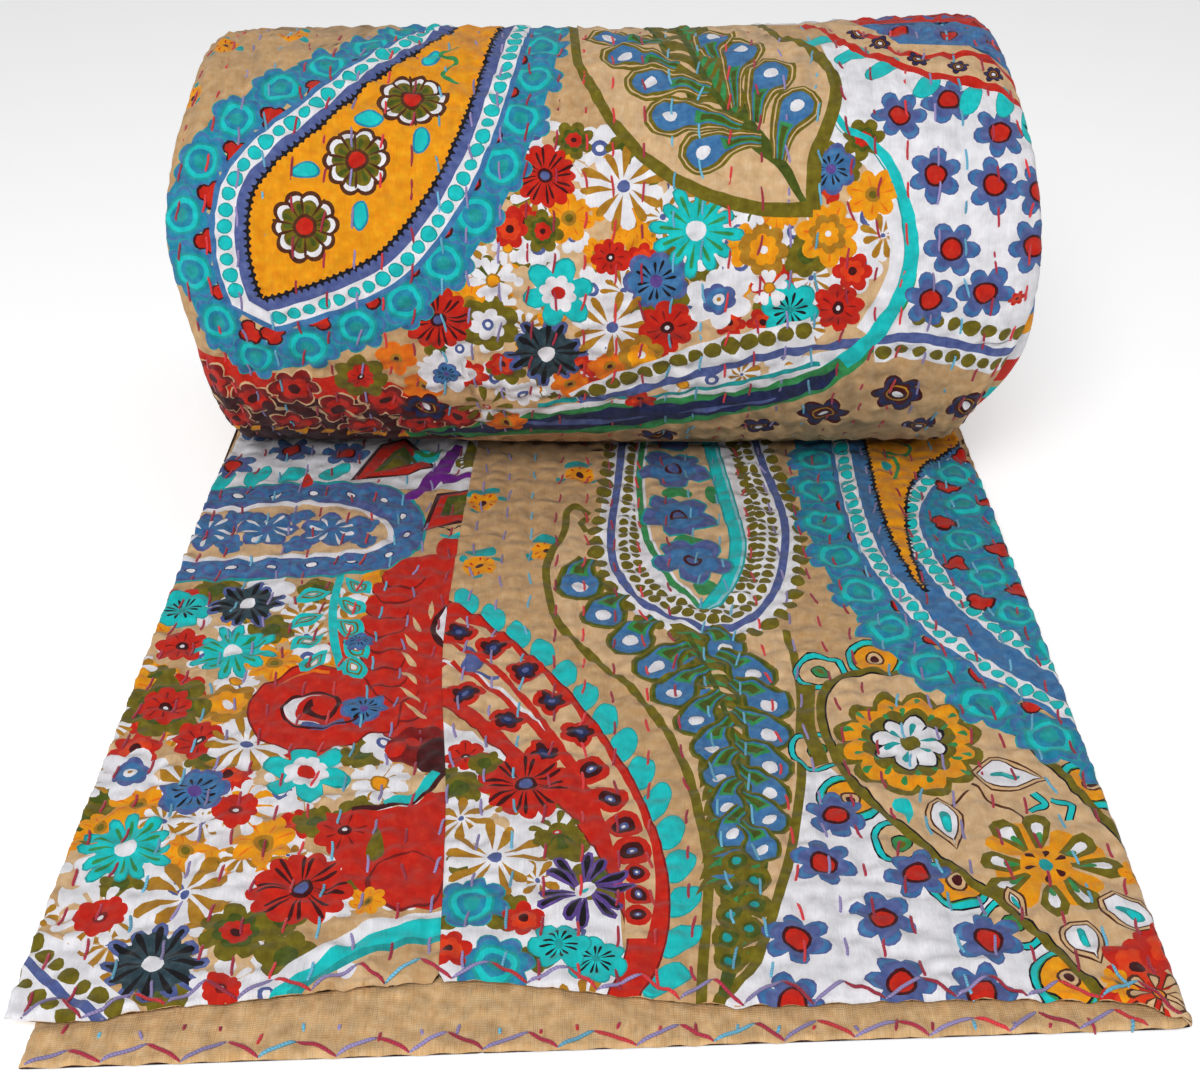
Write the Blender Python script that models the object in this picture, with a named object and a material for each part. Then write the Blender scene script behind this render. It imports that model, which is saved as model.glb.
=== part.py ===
"""Kantha quilt, folded once along its length and rolled up from its far end.

One closed solid, in metres, +Z up, +Y away from the free end. The two layers of the fold lie flat
in front, a little apart and open at the front and at the left, with the fold on the right. Further
back they turn up into a roll of wound turns, which rests on the flat part. Rows of quilting run
along the whole length as soft valleys. The underside is one plane at Z = 0, and the origin lies
under the middle of the quilt's box.
"""

import bmesh
import bpy
import numpy as np

for thing in list(bpy.data.objects):
    bpy.data.objects.remove(thing, do_unlink=True)

# Driving dimensions.
FOLDED_WIDTH = 0.400
ROLL_CENTRE_Y = 0.421  # from the straight line between the flat part's two front corners
TURN_RADIUS = 0.1029  # of the roll where its outer turn comes down on the flat part
RIGHT_SWELL = 0.0040  # the roll is this much fatter in radius at its right end
LAYER = 0.0038  # one puffed layer of the quilt
LAYER_GAP = 0.0009
QUILT_ROWS = 30
QUILT_DEPTH = 0.0014  # of the valley along each row of stitches
SLIT_END_Y = 0.330  # how far back the two layers stay parted
FOLD_ROUND = 0.0035  # width of the rounded fold at the right edge
LOWER_INSET = 0.0092  # of the lower layer's left edge, inside the upper one's
LOWER_REACH = 0.0174  # of the lower layer's left corner, in front of the upper one's
SQUASH = 0.012  # the roll is this much wider and lower than round
END_ROUND = 0.016  # length over which the roll's edges round off at each end
END_DROP = 0.0065  # how much the radius loses there
END_REACH = 0.050  # length of roll over which an uneven end is drawn in or out
GROOVE = 0.0030  # depth between the turns that show at the roll's ends
CORE_RADIUS = 0.010  # where the innermost turn closes on itself
DRAW_IN = 0.0040  # the flat part's edges are this much narrower where the roll comes down on them
DRAW_FROM = 0.85  # share of the flat part's length from which they draw in
SWELL_FULL_X = 0.190  # how far to the right the roll's swell is full
FOLD_RIM = 0.44  # height of the fold's last column, as a share of the stack's

# Soft unevenness: height of a wave, its waves along (per metre, or round the roll), and across.
FLAT_WAVES = ((0.0004, 23, 9), (0.0003, 41, -17))
ROLL_WAVES = ((0.0006, 2, 14), (0.0005, 5, -21))

FLAT_STATIONS = 11
ROLL_STATIONS = 37
CONTACT_ANGLE = 258.0  # where the outer turn meets the flat part, from +Y through the top
FLOOR_ANGLE = -90.0  # where the outer turn leaves the floor, behind

# The upper layer's wavy front edge: x across, y from the line between its corners.
FRONT_EDGE = (
    (-0.200, -0.0005),
    (-0.182, -0.0022),
    (-0.150, 0.0035),
    (-0.115, 0.0080),
    (-0.080, 0.0134),
    (-0.051, 0.0163),
    (-0.028, 0.0149),
    (0.005, 0.0098),
    (0.042, 0.0058),
    (0.103, 0.0077),
    (0.160, 0.0078),
    (0.186, 0.0055),
    (0.200, -0.0010),
)

# How far each end of the roll stands out past the flat part's edge, by angle round the roll
# from +Y at the back (0) over the top (90) to the front (180): angle, left end, right end.
END_OFFSETS = (
    (-90, -0.0045, -0.0045),
    (0, -0.0040, -0.0010),
    (60, -0.0070, -0.0050),
    (90, -0.0078, -0.0066),
    (115, -0.0070, -0.0050),
    (137, -0.0020, -0.0004),
    (157, 0.0000, 0.0033),
    (173, -0.0045, 0.0060),
    (185, -0.0080, 0.0068),
    (197, -0.0090, 0.0048),
    (211, -0.0100, -0.0020),
    (225, -0.0100, -0.0096),
    (258, -0.0060, -0.0060),
)

STACK = 2 * LAYER + LAYER_GAP
SLIT_FLOOR = LAYER
SLIT_ROOF = LAYER + LAYER_GAP


def smooth_table(at, rows, column):
    """Reads a column of a table at any place, on a curve that eases from row to row."""
    keys = np.array([row[0] for row in rows], float)
    values = np.array([row[column] for row in rows], float)
    slopes = np.gradient(values, keys)
    k = np.clip(np.searchsorted(keys, at) - 1, 0, len(keys) - 2)
    step = keys[k + 1] - keys[k]
    t = np.clip((at - keys[k]) / step, 0, 1)
    return (
        (2 * t**3 - 3 * t**2 + 1) * values[k]
        + (t**3 - 2 * t**2 + t) * step * slopes[k]
        + (3 * t**2 - 2 * t**3) * values[k + 1]
        + (t**3 - t**2) * step * slopes[k + 1]
    )


def ease(t):
    t = np.clip(t, 0, 1)
    return t * t * (3 - 2 * t)


def across():
    """x of each column, two to a row of quilting, and the valley depth there. The last column
    is the rounded fold's."""
    x = np.linspace(-FOLDED_WIDTH / 2, FOLDED_WIDTH / 2, 2 * QUILT_ROWS + 1)
    valley = np.where(np.arange(len(x)) % 2 == 1, QUILT_DEPTH, 0.0)
    inner_fold = x[-1] - FOLD_ROUND
    return np.append(x[:-1], [inner_fold, x[-1]]), np.append(valley, 0.0)


def flat_top(x, valley):
    """The upper face of the flat part as [column, station, xyz], from the front edge to where
    the roll comes down on it, softly uneven along its length."""
    front = smooth_table(x, FRONT_EDGE, 1)
    back = ROLL_CENTRE_Y + TURN_RADIUS * np.cos(np.radians(CONTACT_ANGLE))
    along = np.linspace(0, 1, FLAT_STATIONS)
    y = front[:, None] + along * (back - front)[:, None]
    swell = sum(high * np.cos(by_y * y + by_x * x[:, None]) for high, by_y, by_x in FLAT_WAVES)
    z = STACK - valley[:, None] + swell * np.sin(np.pi * along)
    drawn = DRAW_IN * ease((along - DRAW_FROM) / (1 - DRAW_FROM)) * (x / x[-1])[:, None] ** 9
    return np.stack([x[:, None] - drawn, y, z], axis=-1)


def roll_outside(x, valley):
    """The outer turn as [column, station, xyz]. Its radius shrinks by one stack of layers over
    a whole turn, as a wound cloth's does, and its ends are rounded and uneven."""
    angle = np.linspace(CONTACT_ANGLE, FLOOR_ANGLE, ROLL_STATIONS)
    turn = np.radians(angle)
    end = np.abs(x) / (FOLDED_WIDTH / 2)
    rounding = np.clip((np.abs(x) - FOLDED_WIDTH / 2 + END_ROUND) / END_ROUND, 0, 1) ** 2
    inner = TURN_RADIUS + RIGHT_SWELL * ease(x / SWELL_FULL_X)
    unwound = STACK * (CONTACT_ANGLE - angle) / (CONTACT_ANGLE - FLOOR_ANGLE)
    lumps = sum(high * np.sin(round_it * turn + by_x * x[:, None]) for high, round_it, by_x in ROLL_WAVES)
    lumps = lumps * ease((angle - FLOOR_ANGLE) / 60) * ease((CONTACT_ANGLE - angle) / 30)
    lift = ease((angle - FLOOR_ANGLE) / 40)
    radius = inner[:, None] + unwound + lumps - (valley + END_DROP * rounding)[:, None] * lift
    y = ROLL_CENTRE_Y + radius * np.cos(turn) * (1 + SQUASH)
    centre_z = STACK + inner[:, None] * (1 - SQUASH)
    z = centre_z + radius * np.sin(turn) * (1 - SQUASH)
    z = np.where(angle == FLOOR_ANGLE, 0.0, np.maximum(z, 0.0))
    left = smooth_table(angle, END_OFFSETS, 1)
    right = smooth_table(angle, END_OFFSETS, 2)
    near_end = np.clip(1 - (1 - end) * FOLDED_WIDTH / 2 / END_REACH, 0, 1) ** 2
    shift = np.where(x[:, None] < 0, -left, right) * near_end[:, None]
    return np.stack([x[:, None] + shift, y, z], axis=-1)


def lower_layer(x):
    """Front edges of the lower layer and of the slit above it, each as [column, xyz]."""
    share = (x + FOLDED_WIDTH / 2) / FOLDED_WIDTH
    drawn_in = x + LOWER_INSET * (1 - share)
    front = -LOWER_REACH * (1 - share)
    deep = np.full_like(x, SLIT_END_Y)
    wavy = smooth_table(x, FRONT_EDGE, 1)

    def line(across_x, y, z):
        return np.stack([across_x, y, np.full_like(x, z)], axis=-1)

    return {
        "floor": line(drawn_in, front, 0.0),
        "top": line(drawn_in, front, SLIT_FLOOR),
        "slit floor end": line(drawn_in, deep, SLIT_FLOOR),
        "slit roof end": line(x, deep, SLIT_ROOF),
        "slit roof": line(x, wavy, SLIT_ROOF),
    }


def build_quilt():
    x, valley = across()
    columns = len(x)
    flat, roll, lower = flat_top(x, valley), roll_outside(x, valley), lower_layer(x)
    # The rounded fold: its last column is drawn towards the middle of the stack's height.
    flat[-1, :, 2] = (1 + FOLD_RIM) / 2 * STACK
    lower["floor"][-1, 2] = (1 - FOLD_RIM) / 2 * STACK
    body = bmesh.new()

    def points(rows):
        return [body.verts.new(row) for row in rows]

    flat_verts = [points(rows) for rows in flat]
    roll_verts = [points(rows) for rows in roll]
    edge_verts = {name: points(rows) for name, rows in lower.items()}

    def face(*corners):
        body.faces.new(corners)

    last = columns - 1
    fold = last - 1  # the slit ends one column short of the fold's last one
    order = ["floor", "top", "slit floor end", "slit roof end", "slit roof"]
    for i in range(last):
        chain, after = (flat_verts[n] + roll_verts[n] for n in (i, i + 1))
        for j in range(len(chain) - 1):
            face(chain[j], after[j], after[j + 1], chain[j + 1])
        face(chain[-1], after[-1], edge_verts["floor"][i + 1], edge_verts["floor"][i])
        if i < fold:
            rim = [[edge_verts[name][n] for name in order] + [flat_verts[n][0]] for n in (i, i + 1)]
            for j in range(len(order)):
                face(rim[0][j], rim[1][j], rim[1][j + 1], rim[0][j + 1])
    # The slit's end wall beside the fold, and the front rim of the fold itself.
    face(*(edge_verts[name][fold] for name in order[1:]))
    face(
        edge_verts["floor"][fold],
        edge_verts["floor"][last],
        flat_verts[last][0],
        flat_verts[fold][0],
        edge_verts["slit roof"][fold],
        edge_verts["top"][fold],
    )
    # Side faces of the flat part: open edges with the slit on the left, the fold on the right.
    face(*(edge_verts[name][0] for name in order), *flat_verts[0], roll_verts[0][0], roll_verts[0][-1])
    face(edge_verts["floor"][last], *flat_verts[last], roll_verts[last][0], roll_verts[last][-1])
    for column, side in ((0, -1), (last, 1)):
        close_end(body, roll_verts[column], side, roll[column])
    for name in order[1:]:
        body.verts.remove(edge_verts[name][last])
    bmesh.ops.triangulate(body, faces=body.faces[:], ngon_method="EAR_CLIP")
    bmesh.ops.recalc_face_normals(body, faces=body.faces[:])
    low = np.min([v.co[:] for v in body.verts], axis=0)
    high = np.max([v.co[:] for v in body.verts], axis=0)
    bmesh.ops.translate(body, verts=body.verts[:], vec=(-(low[0] + high[0]) / 2, -(low[1] + high[1]) / 2, 0))
    mesh = bpy.data.meshes.new("quilt")
    body.to_mesh(mesh)
    body.free()
    mesh.shade_smooth()
    return mesh


def close_end(body, rim, side, rows):
    """Closes one end of the roll with a spiral, two rings to a turn: a ring's last point meets
    the first point of the ring two before it, one stack of layers further out. Each second ring
    is set back, as the groove between two turns."""
    edge = side * FOLDED_WIDTH / 2
    centre = np.array([edge, ROLL_CENTRE_Y, STACK + TURN_RADIUS])
    outer_radius = np.linalg.norm((rows - centre)[:, 1:], axis=1, keepdims=True)
    count = int((TURN_RADIUS - CORE_RADIUS) / (STACK / 2))
    rings = [rim]
    for k in range(1, count):
        share = 1 - k * STACK / 2 / outer_radius
        row = centre + (rows - centre) * np.hstack([share**2, share, share])
        row[:, 0] -= side * GROOVE * (k % 2)
        rings.append([body.verts.new(p) for p in row])
    for outer, inner in zip(rings, rings[1:]):
        for a in range(len(rim) - 1):
            body.faces.new((outer[a], outer[a + 1], inner[a + 1], inner[a]))
    body.faces.new((rings[0][0], rings[0][-1], rings[1][-1]))
    body.faces.new((rings[0][0], rings[1][-1], rings[2][-1]))
    for k in range(count - 3):
        body.faces.new((rings[k][0], rings[k + 2][-1], rings[k + 3][-1], rings[k + 1][0]))
    core = body.verts.new(centre - [side * GROOVE, 0, 0])
    hole = [rings[-3][0], rings[-2][0]] + rings[-1]
    for a in range(len(hole)):
        body.faces.new((hole[a], hole[(a + 1) % len(hole)], core))


def printed_cotton():
    """Soft cotton: the print's mean colour, as the quilt shows it from a few steps away."""
    material = bpy.data.materials.new("printed_cotton")
    material.use_nodes = True
    shader = material.node_tree.nodes["Principled BSDF"]
    shader.inputs["Base Color"].default_value = (0.42, 0.25, 0.15, 1)
    shader.inputs["Roughness"].default_value = 0.88
    shader.inputs["Metallic"].default_value = 0.0
    return material


quilt = bpy.data.objects.new("quilt", build_quilt())
quilt.data.materials.append(printed_cotton())
bpy.context.scene.collection.objects.link(quilt)
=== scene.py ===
import math

import bpy
import numpy as np
from mathutils import Matrix, Vector
from mathutils.geometry import delaunay_2d_cdt


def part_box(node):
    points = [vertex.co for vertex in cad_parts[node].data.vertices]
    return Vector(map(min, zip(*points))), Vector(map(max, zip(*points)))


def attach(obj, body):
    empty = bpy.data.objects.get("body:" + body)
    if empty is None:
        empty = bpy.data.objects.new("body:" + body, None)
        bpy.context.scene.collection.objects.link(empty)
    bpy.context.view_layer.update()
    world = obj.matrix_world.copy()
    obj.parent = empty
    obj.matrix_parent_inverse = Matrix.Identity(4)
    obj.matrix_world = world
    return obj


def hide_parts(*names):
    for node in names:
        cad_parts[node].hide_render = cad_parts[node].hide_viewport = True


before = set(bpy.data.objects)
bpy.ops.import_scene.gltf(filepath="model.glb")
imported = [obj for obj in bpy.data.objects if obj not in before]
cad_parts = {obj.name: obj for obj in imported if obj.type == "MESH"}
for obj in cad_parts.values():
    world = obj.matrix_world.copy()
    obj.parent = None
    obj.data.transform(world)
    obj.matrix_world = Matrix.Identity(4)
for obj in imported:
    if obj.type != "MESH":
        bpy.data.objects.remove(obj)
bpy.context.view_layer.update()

# ---------------------------------------------------------------------------------------------
# The studio: a plain pale floor under soft light from above and in front, and a camera that looks
# down on the free end of the quilt. The floor also glows a little: painted light that fills in its
# shadows. Places are measured in the quilt's cloth: x across the fold from its middle, y back from
# the line between the upper layer's front corners.

quilt_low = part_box("quilt")[0]
HALF_WIDTH = 0.200  # of the folded quilt, in metres like the other lengths here
LOWER_REACH = 0.0174  # the lower layer's left corner reaches this far in front of that line
ORIGIN = np.array([quilt_low[0] + HALF_WIDTH, quilt_low[1] + LOWER_REACH, 0.0])
CAMERA_PLACE = (-0.0009, -0.3643, 0.4346)
CAMERA_PITCH, CAMERA_YAW, CAMERA_ROLL = math.radians(32.906), math.radians(0.125), math.radians(0.182)

camera_data = bpy.data.cameras.new("camera")
camera_data.lens, camera_data.sensor_width, camera_data.sensor_fit = 48.0, 36.0, "HORIZONTAL"
camera = bpy.data.objects.new("camera", camera_data)
bpy.context.scene.collection.objects.link(camera)
camera.matrix_world = (
    Matrix.Translation(ORIGIN + CAMERA_PLACE)
    @ Matrix.Rotation(-CAMERA_YAW, 4, "Z")
    @ Matrix.Rotation(math.pi / 2 - CAMERA_PITCH, 4, "X")
    @ Matrix.Rotation(CAMERA_ROLL, 4, "Z")
)
bpy.context.scene.camera = camera
bpy.context.scene.view_settings.view_transform = "Standard"


def softbox(name, place, aim, width, power):
    """A square area light that faces its aim."""
    data = bpy.data.lights.new(name, "AREA")
    data.size, data.energy = width, power
    lamp = bpy.data.objects.new(name, data)
    bpy.context.scene.collection.objects.link(lamp)
    lamp.location = place
    lamp.rotation_euler = (Vector(aim) - Vector(place)).to_track_quat("-Z", "Y").to_euler()


softbox("key_light", (-0.28, -1.12, 1.22), (0, 0.0, 0.05), width=0.7, power=18.5)
softbox("top_light", (0.3, 0.45, 1.4), (0, 0.1, 0.05), width=0.8, power=2.5)
world = bpy.data.worlds.new("studio")
world.use_nodes = True
world.node_tree.nodes["Background"].inputs["Color"].default_value = (1, 1, 1, 1)
world.node_tree.nodes["Background"].inputs["Strength"].default_value = 0.30
bpy.context.scene.world = world

bpy.ops.mesh.primitive_grid_add(x_subdivisions=8, y_subdivisions=8, size=12)
floor = bpy.context.object
floor.name = "studio_floor"
glowing_floor_paint = bpy.data.materials.new("glowing_floor_paint")
glowing_floor_paint.use_nodes = True
floor_shader = glowing_floor_paint.node_tree.nodes["Principled BSDF"]
floor_shader.inputs["Base Color"].default_value = (0.93, 0.93, 0.935, 1)
floor_shader.inputs["Roughness"].default_value = 0.8
# A faint glow of the floor: painted light that fills in the shadows on it and lights the roll's ends from
# below.
floor_shader.inputs["Emission Color"].default_value = (1, 1, 1, 1)
floor_shader.inputs["Emission Strength"].default_value = 0.35
floor.data.materials.append(glowing_floor_paint)

# ---------------------------------------------------------------------------------------------
# Left length of the upper layer. Printed cotton is laid over a worn cotton filling and tan
# backing, its raw edges are turned under, and rows of running stitches hold all of it together.
# Each row pulls a soft valley, deepest under a stitch, and gathers small cross wrinkles.

LAYER = 0.0038  # printed cotton, filling and backing together
LAYER_GAP = 0.0009
STACK = 2 * LAYER + LAYER_GAP
ROWS = 30
ROW_PITCH = 2 * HALF_WIDTH / ROWS
STITCH_PITCH = 0.0195
VALLEY = 0.0014  # how deep a row of stitches pulls the cloth
SEAM_DIP = 0.0007
ROLL_FRONT = 0.3996  # where the outer turn comes down on the flat part
DRAW_IN = 0.0040  # how far the sides are drawn in there
# The upper layer's wavy front edge, and the seam between its two lengths, as (y, x).
FRONT_EDGE = (
    (-0.200, -0.0005), (-0.182, -0.0022), (-0.150, 0.0035), (-0.115, 0.0080), (-0.080, 0.0134),
    (-0.051, 0.0163), (-0.028, 0.0149), (0.005, 0.0098), (0.042, 0.0058), (0.103, 0.0077), (0.160, 0.0078),
    (0.186, 0.0055), (0.200, -0.0010),
)
LENGTH_SEAM = (
    (0.0, -0.0545), (0.105, -0.060), (0.210, -0.0695), (0.274, -0.069), (0.349, -0.067), (0.42, -0.064),
)
chance = np.random.default_rng(20)
ROW_PHASE = chance.uniform(0, STITCH_PITCH, ROWS)
WRINKLES = [
    (chance.uniform(6, 16) * 0.001, chance.normal(0, 0.42), chance.uniform(0, 6.28), chance.uniform(0.5, 1))
    for _ in range(26)
]


def smooth_table(at, rows, column=1):
    """Reads a table's column at any place, on cubic curves that pass through its rows."""
    keys = np.array([row[0] for row in rows], float)
    values = np.array([row[column] for row in rows], float)
    slopes = np.gradient(values, keys)
    k = np.clip(np.searchsorted(keys, at) - 1, 0, len(keys) - 2)
    step = keys[k + 1] - keys[k]
    t = np.clip((at - keys[k]) / step, 0, 1)
    return (
        (2 * t**3 - 3 * t**2 + 1) * values[k] + (t**3 - 2 * t**2 + t) * step * slopes[k]
        + (3 * t**2 - 2 * t**3) * values[k + 1] + (t**3 - t**2) * step * slopes[k + 1]
    )


def row_line(row, v):
    """x of a row of stitches, which wanders a little along the cloth."""
    return -HALF_WIDTH + (row + 0.5) * ROW_PITCH + 0.0007 * np.sin(v * 31 + row * 2.1)


def quilted(u, v):
    """Height of the puffed cloth over its lowest: 1 - exp of minus the squared distance to the
    row, less a dip under each stitch, plus a sum of slanting waves as cross wrinkles."""
    row = np.clip(((u + HALF_WIDTH) / ROW_PITCH).astype(int), 0, ROWS - 1)
    off = (u - row_line(row, v)) / (0.5 * ROW_PITCH)
    puff = 1 - np.exp(-((off / 0.45) ** 2))
    dip = 0.0008 * np.exp(-((off / 0.6) ** 2)) * np.cos(2 * np.pi * (v - ROW_PHASE[row]) / STITCH_PITCH)
    waves = sum(
        share * np.cos(2 * np.pi * (v * np.cos(lean) + u * np.sin(lean)) / length + start)
        for length, lean, start, share in WRINKLES
    )
    return VALLEY * puff - dip + 0.00021 * waves * (0.4 + 0.6 * puff)


def ease(t):
    """Rises from 0 to 1 with level ends: t^2 (3 - 2 t)."""
    t = np.clip(t, 0, 1)
    return t * t * (3 - 2 * t)


def rounding(distance, radius):
    """How far a rounded edge falls, from 0 inside it to 1 at the edge itself: 1 - sqrt(1 - t^2)."""
    t = np.clip(1 - distance / radius, 0, 1)
    return 1 - np.sqrt(1 - t * t)


def front_edge(u):
    """The upper layer's wavy front edge: y at a place across."""
    return smooth_table(u, FRONT_EDGE)


def upper_face(u, v):
    """The printed face of the upper layer: quilted, softly uneven along its length, rounded at
    its open edges and at the fold on the right, and drawn in where the roll comes down."""
    front = front_edge(u)
    along = np.clip((v - front) / (ROLL_FRONT - front), 0, 1)
    swell = 0.0004 * np.cos(23 * v + 9 * u) + 0.0003 * np.cos(41 * v - 17 * u)
    z = STACK - VALLEY + quilted(u, v) + swell * np.sin(np.pi * along)
    z = z - 0.5 * LAYER * rounding(np.minimum(u + HALF_WIDTH, v - front), 0.5 * LAYER)
    z = z - 0.5 * STACK * rounding(HALF_WIDTH - u, 0.5 * STACK)
    z = z - SEAM_DIP * np.clip(1 - np.abs(u - smooth_table(v, LENGTH_SEAM)) / 0.0014, 0, 1) ** 2
    drawn = DRAW_IN * ease((along - 0.85) / 0.15) * np.sign(u) * np.abs(u / HALF_WIDTH) ** 9
    return np.stack([u - drawn, v, z], -1) + ORIGIN


def upper_back(u, v):
    """The backing of the upper layer, over the slit."""
    front = front_edge(u)
    rim = rounding(np.minimum(u + HALF_WIDTH, v - front), 0.5 * LAYER)
    return np.stack([u, v, STACK - LAYER + 0.5 * LAYER * rim], -1) + ORIGIN


# The print. Each mark is an ink and a closed outline in millimetres of cloth, and later marks
# lie over earlier ones, as the blocks were printed.
INKS = {
    "tan": (0.59, 0.385, 0.20), "sand": (0.68, 0.47, 0.27), "white": (0.80, 0.79, 0.82),
    "red": (0.58, 0.024, 0.008), "scarlet": (0.72, 0.065, 0.012), "maroon": (0.075, 0.006, 0.008),
    "turquoise": (0.012, 0.56, 0.56), "sea": (0.02, 0.36, 0.36), "teal": (0.025, 0.28, 0.42),
    "blue": (0.070, 0.21, 0.42), "slate": (0.11, 0.145, 0.34), "navy": (0.02, 0.03, 0.11),
    "olive": (0.19, 0.155, 0.010), "ochre": (0.45, 0.23, 0.020), "amber": (0.82, 0.35, 0.006),
    "green": (0.05, 0.30, 0.10), "moss": (0.09, 0.12, 0.012), "black": (0.012, 0.010, 0.014),
    "purple": (0.20, 0.015, 0.30), "violet": (0.14, 0.08, 0.30), "brown": (0.11, 0.035, 0.012),
    "orange": (0.78, 0.20, 0.01), "pale": (0.30, 0.60, 0.66), "pine": (0.040, 0.075, 0.095),
    "wine": (0.24, 0.012, 0.010), "backing": (0.66, 0.44, 0.23),
}


def mark(ink, points):
    """An outline, turned anticlockwise: its area is half the sum of x dy - y dx."""
    p = np.asarray(points, float)
    q = np.roll(p, -1, 0)
    area = (p[:, 0] * q[:, 1] - q[:, 0] * p[:, 1]).sum()
    return [(ink, p if area > 0 else p[::-1])]


def placed(ink, across, along, x, y, turn):
    """An outline turned by an angle and moved to its place."""
    c, s = math.cos(turn), math.sin(turn)
    return mark(ink, np.stack([x + c * across - s * along, y + s * across + c * along], -1))


def dab(ink, x, y, r, flat=1.0, turn=0.0):
    """An oval with the slight wobble of a hand-cut block."""
    a = np.linspace(0, 2 * np.pi, int(np.clip(7 + 1.3 * r, 8, 40)), endpoint=False)
    wobble = 1 + 0.035 * np.sin(3 * a + x) + 0.02 * np.sin(5 * a + y)
    return placed(ink, r * wobble * np.cos(a), r * flat * wobble * np.sin(a), x, y, turn)


def bloom(ink, x, y, r, lobes, cut, turn=0.0):
    """A lobed outline: the radius falls by the cut between lobes, as |cos| of half the angle."""
    a = np.linspace(0, 2 * np.pi, lobes * (6 if r > 6.5 else 4), endpoint=False)
    edge = r * (1 - cut * (1 - np.abs(np.cos(lobes * a / 2)) ** 0.8))
    edge = edge * (1 + 0.05 * np.sin(2 * a + x) + 0.03 * np.sin(3 * a + y))
    return placed(ink, edge * np.cos(a), edge * np.sin(a), x, y, turn)


def strokes(ink, x, y, start, reach, count, wide, turn=0.0):
    """Narrow petals set round a centre, blunt at their outer ends."""
    t = np.array([0, 0.42, 0.74, 0.93, 1.0])
    half = wide * np.array([0.22, 0.66, 1.0, 0.74, 0.0])
    along = start + (reach - start) * t
    along, half = np.concatenate([along, along[-2:0:-1]]), np.concatenate([half, -half[-2:0:-1]])
    marks = []
    for k in range(count):
        longer = 1 + 0.09 * math.sin(2.3 * k + x)
        lean = turn + 2 * np.pi * k / count + 0.08 * math.sin(3.1 * k + y)
        marks += placed(ink, along * longer, half, x, y, lean)
    return marks


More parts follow.
